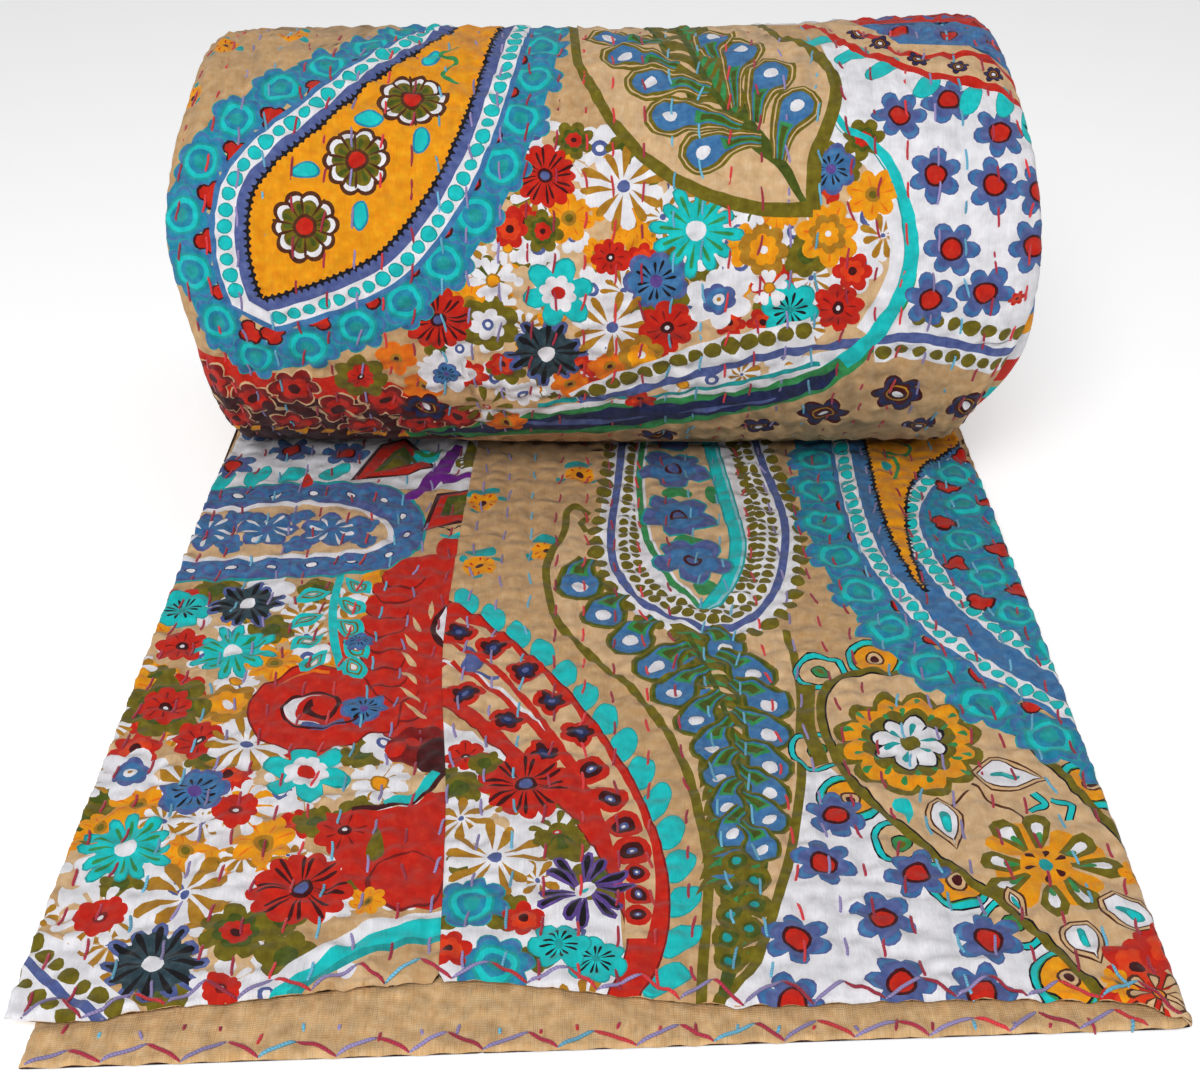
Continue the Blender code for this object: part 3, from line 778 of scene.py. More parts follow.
left_print = (
    mark("white", [(-206, 340), (-50, 340), (-50, 420), (-206, 420)])
    + dab("white", -160, 60, 36, 0.8) + dab("white", -150, 112, 24) + dab("white", -188, 112, 20, 0.8)
    + dab("white", -88, 114, 22, 0.8) + dab("white", -128, 16, 18) + dab("white", -178, 235, 20)
    + scattered(("sand bloom", "olive patch", "amber bloom", "white bloom"), (-204, -62, 62, 250), 17, 12, 14)
    + scattered(FILLING, (-204, -62, 62, 250), 14, 10, 4)
    + scattered(("olive patch", "white bloom", "sand bloom", "gold rays"), (-204, -70, 8, 60), 17, 10, 5)
    + field(
        ("amber bloom", 13, (-142, 194), (-100, 262), (-127, 82), (-203, 178)),
        ("ochre bloom", 14, (-157, 166)),
    )
    # The field of flowers.
    + field(
        ("olive bloom", 21, (-183, 164)), ("red bloom", 12, (-183, 164), (-164, 142), (-185, 206)),
        ("ochre rays", 17, (-144, 139)), ("teal burr", 14, (-191, 234)), ("black star", 16, (-162, 238)),
        ("sea star", 17, (-162, 202), (-178, 78)), ("ring eye", 8, (-187, 121)),
        ("red daisy", 9.5, (-141, 100), (-179, 44)), ("slate star", 14, (-159, 110)),
        ("sea bloom", 18, (-117, 122)), ("olive patch", 9, (-96, 132), (-109, 93), (-92, 146)),
        ("white bloom", 10, (-88, 140)), ("gold rays", 18, (-151, 55)), ("olive bloom", 14, (-129, 37)),
    )
    # Red lobes stacked along the seam, with pale slashes, and dark red ones below.
    + mark("red", np.concatenate([red_side, [(-50, 140), (-50, 272)]])) + dab("red", -68, 282, 11, 1.3)
    + dab("red", -84, 266, 15, 0.8)
    + [one for x, y, _, _ in spaced(red_side[::-1], 12.5)
       for one in dab("wine", x + 2, y - 1.2, 10.6, 0.9, -0.3) + dab("red", x + 2, y, 10.3, 0.9, -0.3)]
    + row_of_leaves("sand", curve([(-70, 150), (-78, 178), (-80, 214), (-72, 236)]), 12, 15, 2.6, -1.1)
    + blade("maroon", [(-64, 205), (-72, 222), (-70, 240)], 11)
    + blade("white", [(-65, 209), (-71, 222), (-70, 236)], 7)
    + dab("wine", -72, 138, 15, 0.8) + dab("maroon", -66, 132, 8, 1.4)
    + row_of("red", curve([(-86, 134), (-70, 146)]), 8, 4)
    + patch("red", [
        (-106, 99), (-78, 101), (-54, 112), (-50, 60), (-64, 48), (-84, 54), (-99, 74), (-106, 99),
    ])
    + flowers("red bloom", [(-97, 88)], 12) + dab("wine", -71, 62, 14.6) + dab("red", -70.5, 62.5, 13.4)
    + flowers("amber bloom", [(-84, 52)], 7) + blade("olive", [(-84, 72), (-85, 92)], 7)
    + line("maroon", [(-96, 100), (-80, 103), (-68, 112), (-62, 132)], np.linspace(2, 7, 25))
    + line("turquoise", [(-84, 104), (-72, 109), (-65, 122)], 4)
    + field(
        ("white daisy", 12, (-87, 116)), ("red star", 19, (-109, 58)), ("black star", 17, (-155, 22)),
        ("red daisy", 7, (-129, 11)),
    )
    # The red spiral round its slate petals.
    + mark("wine", grown(spiral_edge, 0.9)) + mark("red", spiral_edge)
    + ribbon("white", beside(spiral_line[10:42], -3), np.interp(np.arange(32), (0, 16, 31), (1, 5.5, 1)))
    + flowers("slate star", [(-99, 163)], 10)
    + line("slate", [(-124, 152), (-115, 150), (-106, 154)], 4)
    + ribbon("maroon", spiral_line, np.interp(np.arange(90), (0, 40, 70, 89), (1.0, 1.8, 3.2, 4.0)))
    + line("orange", [(-138, 180), (-128, 187), (-117, 188)], 1.6)
    # The branch of seeded leaves.
    + line("turquoise", [(-122, 262), (-122, 235), (-118, 210), (-112, 190)], 4)
    + [one for x, y, turn in (
        (-133, 245, 0.25), (-133, 226, 0.5), (-130, 210, 0.6), (-125, 196, 0.9), (-113, 253, 2.3),
        (-114, 237, 2.4), (-113, 221, 2.4), (-108, 205, 2.2), (-107, 191, 2.0),
    ) for one in seeded_leaf(x, y, 18, 11, turn + 0.1)]
    + flowers("slate star", [(-107, 210)], 7)
    # The turquoise sash, and the dotted line in the corner.
    + ribbon("white", sash + (0, 5), 9) + ribbon("turquoise", sash, np.linspace(4, 13, len(sash)))
    + ribbon("sea", sash - (0, 4), 3)
    + patch("white", [(-206, 40), (-186, 30), (-170, 14), (-152, -4), (-206, -6)])
    + row_of("olive", beside(corner_line, 6), 7.5, 3.4) + row_of("olive", beside(corner_line, -6), 7.5, 3.2)
    + ribbon("slate", corner_line, 3.6)
    # The slate boteh that lies across the length, with three slashed flowers in its heart.
    + mark("sea", grown(slate_boteh, 1.6)) + mark("slate", slate_boteh)
    + [one for x, y, _, _ in spaced(boteh_band, 15) for one in flower("faint", x, y, 8.5)]
    + row_of("navy", boteh_band, 19, 2.0, 0, 1.7) + row_of("white", boteh_band, 19, 1.5, 0, 1.7)
    + mark("white", grown(boteh_heart, 1.5)) + mark("sand", grown(boteh_heart, -1.5))
    + field(
        ("faint", 7, (-180, 314), (-180, 288), (-149, 314), (-147, 288), (-116, 306), (-115, 292)),
        ("slashed", 15.5, (-193, 300), (-164, 302), (-132, 301)),
    )
    # Above it turquoise fingers, blue flowers, two red leaves and a purple curl.
    + fingers("turquoise", [(-196, 348, 1.1), (-178, 353, 1.2), (-160, 355, 1.0), (-138, 357, 0.9)], 19, 11)
    + blade("red", [(-150, 342), (-153, 358)], 6)
    + flowers("blue eye", [(-194, 364), (-165, 380), (-135, 377), (-186, 402), (-150, 406)], 12)
    + mark("maroon", [(-129, 349), (-117, 388), (-104, 392), (-86, 365), (-100, 356)])
    + mark("red", [(-127, 350), (-116, 386), (-105, 390), (-88, 365), (-100, 357)])
    + mark("moss", [(-118, 356), (-109, 381), (-104, 382), (-96, 366)])
    + mark("olive", [(-114, 359), (-107, 377), (-100, 366)])
    + blade("turquoise", [(-98, 378), (-90, 372), (-84, 380)], 10)
    + line("green", [(-99, 380), (-91, 374), (-84, 383)], 2.4)
    + line(
        "purple", [(-95, 333), (-88, 346), (-81, 366), (-75, 386)],
        np.interp(np.arange(25), (0, 4, 12, 24), (7, 6, 11, 4)),
    )
    + line("purple", [(-82, 349), (-72, 353), (-58, 360)], np.linspace(9, 3, 17))
    + dab("purple", -95, 334, 4.6)
    + blade("olive", [(-72, 362), (-68, 376), (-70, 392)], 12)
    + row_of("white", curve([(-72, 363), (-73, 376), (-71, 390)]), 3.6, 1.1)
    + mark("maroon", [(-88, 300), (-83, 336), (-60, 344), (-58, 312)])
    + mark("red", [(-86, 302), (-81, 334), (-60, 341), (-60, 314)])
    + mark("moss", [(-79, 312), (-77, 331), (-60, 337), (-60, 318)])
    + mark("olive", [(-75, 316), (-74, 328), (-60, 334), (-60, 320)])
    + dab("turquoise", -70, 296, 8, 0.5)
    + row_of_leaves("black", curve([(-78, 303), (-62, 303)]), 4, 4, 1.6, 1.6)
)
upper_left_length = sew_sheet(
    "upper_left_length", left_outline, left_print, "tan", upper_face, upper_back, "backing",
    printed_cotton, spacing=(2.2, 4.0),
)

# ---------------------------------------------------------------------------------------------
# Right length of the upper layer, joined edge to edge to the left one. Its print has a looped
# boteh, a long feather leaf, a red crescent and dotted bands, on tan and white ground.

FLOWERS.update({
    "medallion": (
        ("bloom", "olive", 1.04, 12, 0.16), ("bloom", "amber", 0.92, 12, 0.18),
        ("strokes", "green", 0.70, 0.86, 12, 0.045), ("bloom", "olive", 0.66, 12, 0.12),
        ("between", "green", 0.5, 0.66, 12, 0.04), ("bloom", "black", 0.54, 8, 0.24),
        ("bloom", "white", 0.50, 8, 0.26), ("strokes", "sea", 0.12, 0.36, 6, 0.045),
        ("between", "black", 0.3, 0.44, 8, 0.016), ("dab", "olive", 0.14),
    ),
    "seed flower": (
        ("between", "amber", 0.2, 1.0, 8, 0.22), ("strokes", "olive", 0.25, 1.16, 8, 0.23),
        ("strokes", "white", 0.5, 0.98, 8, 0.10), ("strokes", "green", 0.45, 0.75, 8, 0.06),
        ("dab", "amber", 0.42), ("strokes", "maroon", 0.17, 0.36, 6, 0.06), ("dab", "sea", 0.12),
    ),
    "peacock": (
        ("dab", "black", 1.12), ("dab", "turquoise", 1.06), ("dab", "green", 0.88), ("dab", "black", 0.84),
        ("dab", "amber", 0.78), ("dab", "brown", 0.36), ("dab", "sand", 0.28), ("dab", "maroon", 0.17),
    ),
    "green peacock": (
        ("dab", "black", 1.12), ("dab", "turquoise", 1.06), ("dab", "black", 0.88), ("dab", "sand", 0.82),
        ("dab", "black", 0.4), ("dab", "green", 0.34), ("dab", "olive", 0.16),
    ),
    "ladybird": (
        ("strokes", "sea", 0.6, 1.5, 3, 0.3), ("dab", "green", 0.8), ("bloom", "amber", 1.0, 9, 0.08),
        ("strokes", "red", 0.5, 0.84, 8, 0.07), ("dab", "maroon", 0.26),
    ),
    "loop flower": (
        ("bloom", "sea", 1.07, 5, 0.34), ("bloom", "slate", 1.0, 5, 0.34), ("bloom", "blue", 0.66, 5, 0.2),
        ("dab", "maroon", 0.25), ("dab", "slate", 0.16),
    ),
    "ruby": (
        ("bloom", "red", 1.4, 5, 0.2), ("bloom", "maroon", 1.0, 5, 0.3), ("bloom", "navy", 0.6, 5, 0.2),
        ("dab", "slate", 0.26),
    ),
    "ruby disc": (
        ("dab", "red", 1.4), ("dab", "maroon", 0.86), ("dab", "slate", 0.4), ("dab", "white", 0.16),
    ),
    "outlined daisy": (
        ("strokes", "brown", 0.25, 1.1, 8, 0.24), ("strokes", "sand", 0.35, 0.96, 8, 0.15),
        ("dab", "brown", 0.28), ("dab", "amber", 0.2),
    ),
})


def plume(x, y, r, tail, parts=(("olive", 1.14), ("moss", 1.02), ("blue", 0.86)), eye=0.40):
    """A drop of the feather leaf: round about its white eye, then narrowing along a bent tail. Its
    half width is the radius times a table read at the distance from its round end."""
    head, tail = np.array([x, y]), np.array(tail, float)
    away = -tail / np.linalg.norm(tail)
    bow = np.array([away[1], -away[0]]) * (2.4 if tail[0] > 0 else -2.4)
    marks = []
    for ink, share in parts:
        spine = curve([head + away * r * share, head, head + 0.5 * tail + bow, head + tail], 7)
        run = np.concatenate([[0], np.cumsum(np.linalg.norm(np.diff(spine, axis=0), axis=1))]) / (r * share)
        taper = np.interp(
            run, (0, 0.14, 0.5, 1, 1.5, 2.2, 3.2, 6), (0.05, 0.52, 0.88, 1, 0.9, 0.6, 0.34, 0.1),
        )
        half = r * share * taper
        marks += ribbon(ink, spine, 2 * half)
        if ink == "blue":
            marks += ribbon("green", spine[12:], 1.5 * half[12:])
            marks += ribbon("moss", spine[13:], 0.9 * half[13:])
    return marks + dab("white", x + 0.1 * tail[0] / r, y, eye * r, 0.86, 0.8)


def sketched_leaf(x, y, length, width, turn):
    """A leaf drawn in two brown lines, white inside with turquoise strokes."""
    reach = np.array([math.cos(turn), math.sin(turn)]) * length / 2
    edge = leaf(curve([(x, y) - reach, (x, y) + reach]), width, 0.72)
    marks = mark("brown", edge)
    for ink, inset in (("sand", 0.8), ("brown", 2.0), ("white", 2.7)):
        marks += mark(ink, grown(edge, -inset))
    marks += dab("sea", x - 0.1 * reach[0], y - 0.1 * reach[1], 0.2 * length, 0.36, turn)
    return marks + dab("turquoise", x, y, 0.1 * length, 0.5, turn)


def dotted_band(path, width, dot_pitch, dot, edge=2.6):
    """A white band with a thin slate edge and a row of turquoise dots down its middle."""
    return (
        ribbon("blue", path, width + 2 * edge) + ribbon("white", path, width)
        + row_of("sea", path, dot_pitch, dot + 0.3) + row_of("turquoise", path, dot_pitch, dot - 0.2)
    )


def ringed_flowers(path, pitch, r, buds=1.0):
    """A close row of blue flowers with rings, with red buds in the hollows on one side."""
    marks = ribbon("teal", path, 1.2 * r)
    marks += [one for x, y, _, _ in spaced(path, pitch) for one in flower("ringed", x, y, r)]
    for x, y, nx, ny in spaced(path, pitch, 1.0):
        spot, turn = (x + nx * r * buds, y + ny * r * buds), math.atan2(ny, nx) + 3.14
        for ink, share in (("maroon", 0.50), ("red", 0.42)):
            marks += bloom(ink, *spot, share * r, 3, 0.42, turn)
    return marks


loop_path = curve([
    (8, 410), (4.5, 360), (0, 310), (-2, 290), (2, 262), (14, 234), (34, 217), (54, 210), (72, 218),
    (88, 238), (97, 275), (99, 305), (96, 340), (92, 370), (90, 410),
])
loop_line = curve([
    (14, 410), (10, 350), (6, 300), (8, 268), (20, 240), (40, 225), (56, 220), (70, 228), (83, 252),
    (91, 290), (92, 320), (87, 365), (83, 410),
])
tear_left = curve([(26, 410), (21.5, 364), (21, 330), (22.5, 300), (27, 278), (36, 254), (48, 236)])
tear_right = curve([(58, 410), (62, 365), (66, 320), (68, 292), (64, 266), (55, 244), (48, 236)])
feather_left = curve([
    (-5, 316), (-11, 323), (-16, 318), (-17, 300), (-23, 281), (-25, 262), (-20, 229), (-11, 211), (0, 194),
    (12, 179), (22, 161), (30, 142), (36, 120), (39, 96), (41, 71), (39, 46), (36, 20), (34, -4),
])
feather_right = curve([
    (84, 216), (86, 196), (86, 171), (83, 146), (81, 121), (77, 99), (72, 76), (66, 56), (60, 38), (53, 20),
    (42, 8), (36, -4),
])
feather_stem = curve([
    (40, 214), (47, 190), (53, 160), (56, 130), (57, 100), (55, 70), (50, 45), (46, 22), (42, 8),
])
crescent_out = curve([
    (-72, 242), (-47, 218), (-25, 190), (-6, 158), (9, 125), (20, 90), (24, 55), (20, 25), (6, -2),
])
crescent_in = curve([(-72, 172), (-50, 148), (-30, 122), (-13, 100), (0, 76), (8, 50), (10, 28), (0, 2)])
outer_strip = curve([
    (-68, 221), (-44, 203), (-25, 175), (-10, 147), (4, 115), (12, 85), (15, 58), (13, 34),
])
inner_strip = curve([(-70, 189), (-52, 171), (-33, 147), (-17, 122)])
left_band = curve([
    (131, 410), (130, 370), (129, 330), (131, 292), (139, 252), (151, 219), (162, 203), (170, 189),
    (187, 172), (208, 152),
])
right_band = curve([
    (208, 388), (196, 374), (183, 362), (168, 345), (158, 323), (155, 303), (157, 283), (162, 260),
    (167, 243), (175, 226), (185, 210), (196, 195), (208, 180),
])
flower_ring = curve([
    (115, 418), (115, 370), (112, 336), (113, 300), (117, 270), (125, 238), (136, 207), (153, 180),
    (170, 159), (190, 141), (212, 122),
])
flame = curve([
    (145, 410), (144, 370), (143, 333), (144, 300), (147, 272), (152, 250), (151, 285), (154, 318),
    (160, 343), (172, 366), (196, 388), (206, 410),
])
drop_leaf = curve([
    (152, 184), (140, 187), (125, 188), (111, 187), (101, 182), (95, 172), (92.5, 158), (93.6, 141),
    (97, 126), (103, 111), (111.5, 97), (121, 83), (132.5, 67), (143, 55), (152, 42), (159, 30), (166, 18),
    (173, 5), (182, -8), (216, -8), (214, 60), (203, 78), (196, 97), (190, 111), (183, 128), (168, 156),
])

right_print = (
    patch("white", [(-80, 160), (-52, 146), (-30, 122), (0, 76), (8, 40), (0, -6), (-80, -6)])
    + patch("white", [
        (82, 128), (92, 126), (106, 104), (150, 44), (176, -6), (40, -6), (66, 60), (78, 110),
    ])
    + scattered(("white bloom", "sand bloom", "olive patch", "gold rays"), (-60, 0, 4, 120), 17, 10, 9)
    # Tan ground with a few spotted buds.
    + flowers("ladybird", [(-10, 355), (-59, 328), (-57, 269), (-25, 282)], 8)
    + fingers("sea", [(-11, 366, 0.2), (-58, 338, 0.1), (-25, 292, 0.2), (-57, 281, 0)], 14, 7)
    # The feather leaf's ground and outline, and the looped boteh with its dotted borders over it.
    + mark("sand", np.concatenate([feather_left[16:], feather_right[::-1]]))
    + ribbon("olive", feather_left, 3.8)
    + ribbon("olive", feather_right, 3.8) + line("olive", [(-6, 314), (-9, 307), (-6, 300)], 3.4)
    + mark("white", loop_path) + row_of("olive", loop_path, 9.6, 3.9) + ribbon("slate", loop_line, 4)
    + row_of("olive", beside(loop_line, 6), 6.2, 2.7) + row_of("olive", beside(loop_line, 11.5), 5.8, 2.5)
    + row_of("olive", curve([(54, 236), (63, 246), (72, 270), (76, 300), (75, 350), (69, 410)]), 6.0, 2.6)
    + mark("sand", np.concatenate([tear_left, tear_right[::-1]])) + ribbon("white", tear_left, 6)
    + ribbon("green", tear_left, 3.2)
    + dab("green", 40, 338, 8, 0.6) + dab("green", 44, 292, 8, 0.5) + dab("green", 58, 336, 4, 2)
    + dab("green", 50, 252, 6)
    + ribbon("sea", tear_right, 8.6) + ribbon("turquoise", tear_right, 7)
    + ribbon("pale", beside(tear_right, 2.6), 1.3)
    + flowers("loop flower", [(41, 401), (39, 361), (40, 315), (45, 275)], 19)
    # The red crescent: two tan strips of dark flowers, and turquoise fingers along its outer side.
    + fingers("turquoise", [
        (x + nx * 6.5, y + ny * 6.5, math.atan2(ny, nx) + 1.0) for x, y, nx, ny in spaced(crescent_out, 17.5)
    ], 19, 10.5)
    + mark("wine", grown(np.concatenate([crescent_out, crescent_in[::-1]]), 0.7))
    + mark("red", np.concatenate([crescent_out, crescent_in[::-1]]))
    + ribbon("sand", outer_strip, np.interp(np.arange(57), (0, 24, 40, 56), (17, 17, 15, 8)))
    + ribbon("sand", inner_strip, np.linspace(15, 9, 25))
    + patch("sand", [(-72, 212), (-52, 198), (-36, 176), (-24, 154), (-42, 172), (-72, 202)])
    + line("white", [(-70, 197), (-50, 183), (-34, 165), (-22, 148)], 2)
    + blade("slate", [(-57, 188), (-55, 198), (-60, 210)], 10)
    + line("slate", [(-58, 190), (-51, 186), (-43, 184)], 2)
    + ribbon("red", crescent_out, 3.4) + ribbon("wine", beside(crescent_out, 1.7), 0.8)
    + ribbon("red", beside(outer_strip[:44], -9), 3)
    + ribbon("red", beside(inner_strip, 8), 2.6)
    + field(
        ("ruby", 6.2, (-63, 217), (-47, 206), (-32, 189), (-20, 168), (-8, 147), (-57, 173), (-38, 155),
         (-22, 134)),
        ("ruby disc", 5.4, (-3, 124), (4.5, 107), (9.5, 92), (12.5, 78)),
        ("ruby disc", 3.6, (14, 66), (14.5, 55), (14, 45)),
    )
    # The feather leaf: stacked blades down its stem, and eyed drops that get smaller towards its end.
    + ribbon("moss", feather_stem, np.interp(np.arange(65), (0, 16, 40, 52, 64), (14, 24, 16, 7, 3)))
    + [one for ink, length, width, lean, offset in (
        ("olive", 19, 8, 2.2, 6), ("olive", 19, 8, -2.2, -6),
        ("green", 14, 3, 2.3, 5), ("green", 14, 3, -2.3, -5),
    ) for one in row_of_leaves(ink, feather_stem[:44], 9, length, width, lean, offset)]
    + [one for ink, length, width, lean in (
        ("olive", 11, 6.5, 0.85), ("olive", 11, 6.5, 2.3), ("green", 8, 3, 0.85), ("green", 8, 3, 2.3),
    ) for one in row_of_leaves(ink, feather_stem[40:60], 7.5, length, width, lean)]
    + row_of_leaves("sand", feather_stem[8:40], 13, 15, 2.2, 2.6, 7)
    + row_of_leaves("blue", feather_stem[:44], 11, 12, 2.4, -2.7, -2)
    + ribbon("moss", feather_stem, 2.4)
    + [one for x, y in ((52, 72), (58, 63), (48, 59), (57, 50), (48, 46), (54, 38), (46, 34), (46, 24))
       for one in dab("olive", x, y, 6.4, 0.9, 0.8) + dab("moss", x, y, 4.2, 0.8, 0.8)
       + dab("sea", x - 0.5, y + 0.5, 1.8)]
    + [one for x, y, r, right, up in (
        (56, 204, 9, -8, 16), (-9, 253, 11, 4, 24), (67, 185, 10, -15, 16), (2, 230, 10, 9, 17),
        (14, 210, 10, 12, 17), (72, 165, 10, -15, 16), (25, 191, 10, 15, 16), (32, 173, 9.5, 15, 18),
        (70.5, 146, 9.5, -14, 16), (40.5, 154, 9, 12, 19), (69, 126, 9, -12, 16), (46, 137, 8.4, 9, 18),
        (67.5, 110, 8, -11, 15), (48, 120, 7.6, 8, 17), (66, 95, 7.6, -10, 15), (50, 103, 7.2, 6, 16),
        (51, 87, 6.8, 5, 14), (61.5, 79, 7, -7, 14),
    ) for one in plume(x, y, r, (right, up))]
    # The tan drop leaf, its medallion and the ornaments along its side.
    + field(
        ("green peacock", 11, (96, 187), (89, 136), (115, 83), (148, 41)),
        ("peacock", 12, (121, 196), (99, 108), (132, 62), (162, 16), (196, 116)),
    )
    + line("olive", [(90, 178), (87, 152), (90, 128)], 6)
    + mark("olive", grown(drop_leaf, 1.4)) + mark("black", grown(drop_leaf, -2.2))
    + mark("sand", grown(drop_leaf, -3.0))
    + line("brown", [(148, 116), (156, 104), (164, 96), (160, 88)], 1.2)
    + line("brown", [(146, 112), (138, 104), (134, 98)], 1.2)
    + flowers("medallion", [(127.6, 141)], 31) + flowers("seed flower", [(167, 71)], 23)
    + [one for place in (
        (164, 121, 30, 21, -0.15), (134, 93, 30, 15, -1.5), (172, 33, 22, 17, -1.3),
        (193, 46, 28, 17, -0.6), (152, 52, 14, 8, -1.2),
    ) for one in sketched_leaf(*place)]
    + line("black", [(168, 101), (174, 103), (171, 110)], 3.6)
    + line("turquoise", [(168, 101), (174, 103), (171, 110)], 2.4)
    + line("black", [(177, 106), (184, 103), (182, 96)], 3.4)
    + line("turquoise", [(177, 106), (184, 103), (182, 96)], 2.2)
    + blade("turquoise", [(116, 107), (120, 100), (119, 92)], 6)
    + field(
        ("red patch", 13, (187, 21), (201, 30), (182, 4)), ("amber bloom", 7, (179, 14), (200, 66)),
        ("outlined daisy", 10, (191, 9)),
    )
    # Dotted bands, the ring of flowers and the amber flame between them.
    + ringed_flowers(flower_ring, 31, 16)
    + mark("teal", np.concatenate([right_band, [(215, 190), (215, 400)]]))
    + mark("blue", np.concatenate([left_band, right_band[::-1]])) + dotted_band(left_band, 8.5, 7.2, 3.0)
    + dotted_band(right_band, 8.5, 7.2, 3.0)
    + flowers("ringed", [
        (187, 358), (185, 327), (179, 294), (184, 262), (191, 231), (204, 206), (206, 345), (204, 308),
        (206, 275),
    ], 15)
    + [one for x, y in (
        (180, 344), (172, 310), (171, 272), (176, 240), (194, 286), (196, 250), (196, 375), (200, 330),
    ) for one in bloom("maroon", x, y, 7.4, 3, 0.34, x) + bloom("red", x, y, 6, 3, 0.34, x)]
    + mark("black", grown(flame, 1.2)) + mark("amber", flame)
    + row_of_leaves("black", flame, 3.4, 4, 2.2, 3.1, 1)
    + line("green", [(160, 392), (168, 384), (161, 376), (153, 382), (158, 366), (154, 352)], 2)
    + dab("sea", 152, 366, 3)
    # Blue flowers on white between the leaf and the feather, and the flowers at the front.
    + field(
        ("blue eye", 12, (84, 72), (102, 44), (70, 34), (138, 34), (104, 14), (131, 10), (92, 98), (66, 6),
         (118, 66)),
        ("gold rays", 12, (-53, 94)), ("ochre rays", 18, (-39, 74)),
        ("red star", 19, (-29, 115)), ("olive rays", 11, (-16, 88)), ("ringed", 13, (-46, 51), (-36, 22)),
        ("red patch", 8.5, (-27, 43), (-53, 29)), ("violet star", 17, (-5, 58)),
        ("teal burr", 11, (-1, 24), (-14, 31)), ("red bloom", 9, (-54, 132)),
        ("olive patch", 7, (-62, 120), (-46, 128)),
    )
)
right_outline = np.concatenate([
    seam_line[::-1] + (0.1, 0), front_line(seam_line[0, 0] + 2, SIDE - 1.5),
    straight((SIDE, -1), (SIDE, BACK_END), (seam_line[-1, 0] + 2, BACK_END)),
])
upper_right_length = sew_sheet(
    "upper_right_length", right_outline, right_print, "tan", upper_face, upper_back, "backing",
    printed_cotton, spacing=(2.2, 4.0),
)

# ---------------------------------------------------------------------------------------------
# The lower layer: the other half of the fold, with its tan backing up. It lies a little askew, so
# a strip of it shows in front of the upper layer's wavy edge, and its print is on the floor.

LOWER_INSET = 0.0092  # how far its left edge lies inside the upper layer's
LOWER_LEFT, LOWER_FRONT, LOWER_END = -190.8, -17.4, 421  # its left edge, left corner and end, in mm


def lower_rim(u, v):
    """How far the lower layer's open edges round off at a place."""
    share = (u + HALF_WIDTH - LOWER_INSET) / (2 * HALF_WIDTH - LOWER_INSET)
    return rounding(np.minimum(u + HALF_WIDTH - LOWER_INSET, v + LOWER_REACH * (1 - share)), 0.5 * LAYER)


def lower_face(u, v):
    """The backing, half as puffed as the printed side, curling up into the fold on the right."""
    z = LAYER - 0.5 * VALLEY + 0.5 * quilted(u, v + 0.007) - 0.5 * LAYER * lower_rim(u, v)
    z = z + (0.5 * STACK - LAYER) * rounding(HALF_WIDTH - u, 0.5 * STACK)
    return np.stack([u, v, z], -1) + ORIGIN


def lower_back(u, v):
    """The print side, flat on the floor and rounded up at its edges and into the fold. It is coloured
    plain maroon, partly as painted shade under the lower front edge.
    """
    z = 0.5 * LAYER * lower_rim(u, v) + 0.5 * STACK * rounding(HALF_WIDTH - u, 0.5 * STACK)
    return np.stack([u, v, z], -1) + ORIGIN


lower_outline = straight(
    (LOWER_LEFT, LOWER_FRONT), (SIDE, 0), (SIDE, LOWER_END), (LOWER_LEFT, LOWER_END),
    (LOWER_LEFT, LOWER_FRONT),
)
backing_cotton = cotton("backing_cotton", wash_depth=0.75, pitch=0.0007, relief=0.00025)
# Its print side is one plain maroon: partly painted shade, which shows as a dark strip under the lower front
# edge.
lower_layer = sew_sheet(
    "lower_layer", lower_outline, [], "backing", lower_face, lower_back, "maroon",
    backing_cotton, spacing=(2.2, 4.5),
)

# ---------------------------------------------------------------------------------------------
# The outer turn of the roll. The two layers are wound up together from the far end, and the lower
# layer's print comes up behind and over the top. One stack of layers is gained at each turn.

ROLL_CENTRE = 0.421
TURN_RADIUS = 0.1029
RIGHT_SWELL = 0.0040  # the roll is fuller towards the folds
SQUASH = 0.012  # its share wider and lower than round
END_ROUND, END_DROP, END_REACH = 0.016, 0.0065, 0.050  # rims, their fall, and the uneven stretch
CONTACT, FLOOR = 258.0, -90.0  # degrees where the outer turn meets the flat part, and where it ends
WRAP_RADIUS = 0.1062  # turns cloth length round the roll to an angle
ROW_SHIFT = 0.311  # how far the roll's stitches are on in their rows
WRAP_START, WRAP_END = -12, 645  # the outer turn's cloth, in mm from where it meets the flat part
TURNED_REPEAT = 752  # mm of cloth, from a print to the same one upside down
# How far the roll's ends stand out, by angle from +Y over the top: left, right, and the outer
# turn's own right edge, which draws back low down and bares the turn inside it.
END_OFFSETS = (
    (-90, -0.0045, -0.0045, -0.0045), (0, -0.0040, -0.0010, -0.0010), (60, -0.0070, -0.0050, -0.0050),
    (90, -0.0078, -0.0066, -0.0066), (115, -0.0070, -0.0050, -0.0050), (137, -0.0020, -0.0004, -0.0004),
    (157, 0.0000, 0.0033, 0.0030), (173, -0.0045, 0.0060, 0.0030), (185, -0.0080, 0.0068, -0.0010),
    (197, -0.0090, 0.0048, -0.0070), (211, -0.0100, -0.0020, -0.0120), (225, -0.0100, -0.0096, -0.0150),
    (258, -0.0060, -0.0060, -0.0120), (270, -0.0045, -0.0045, -0.0045),
)


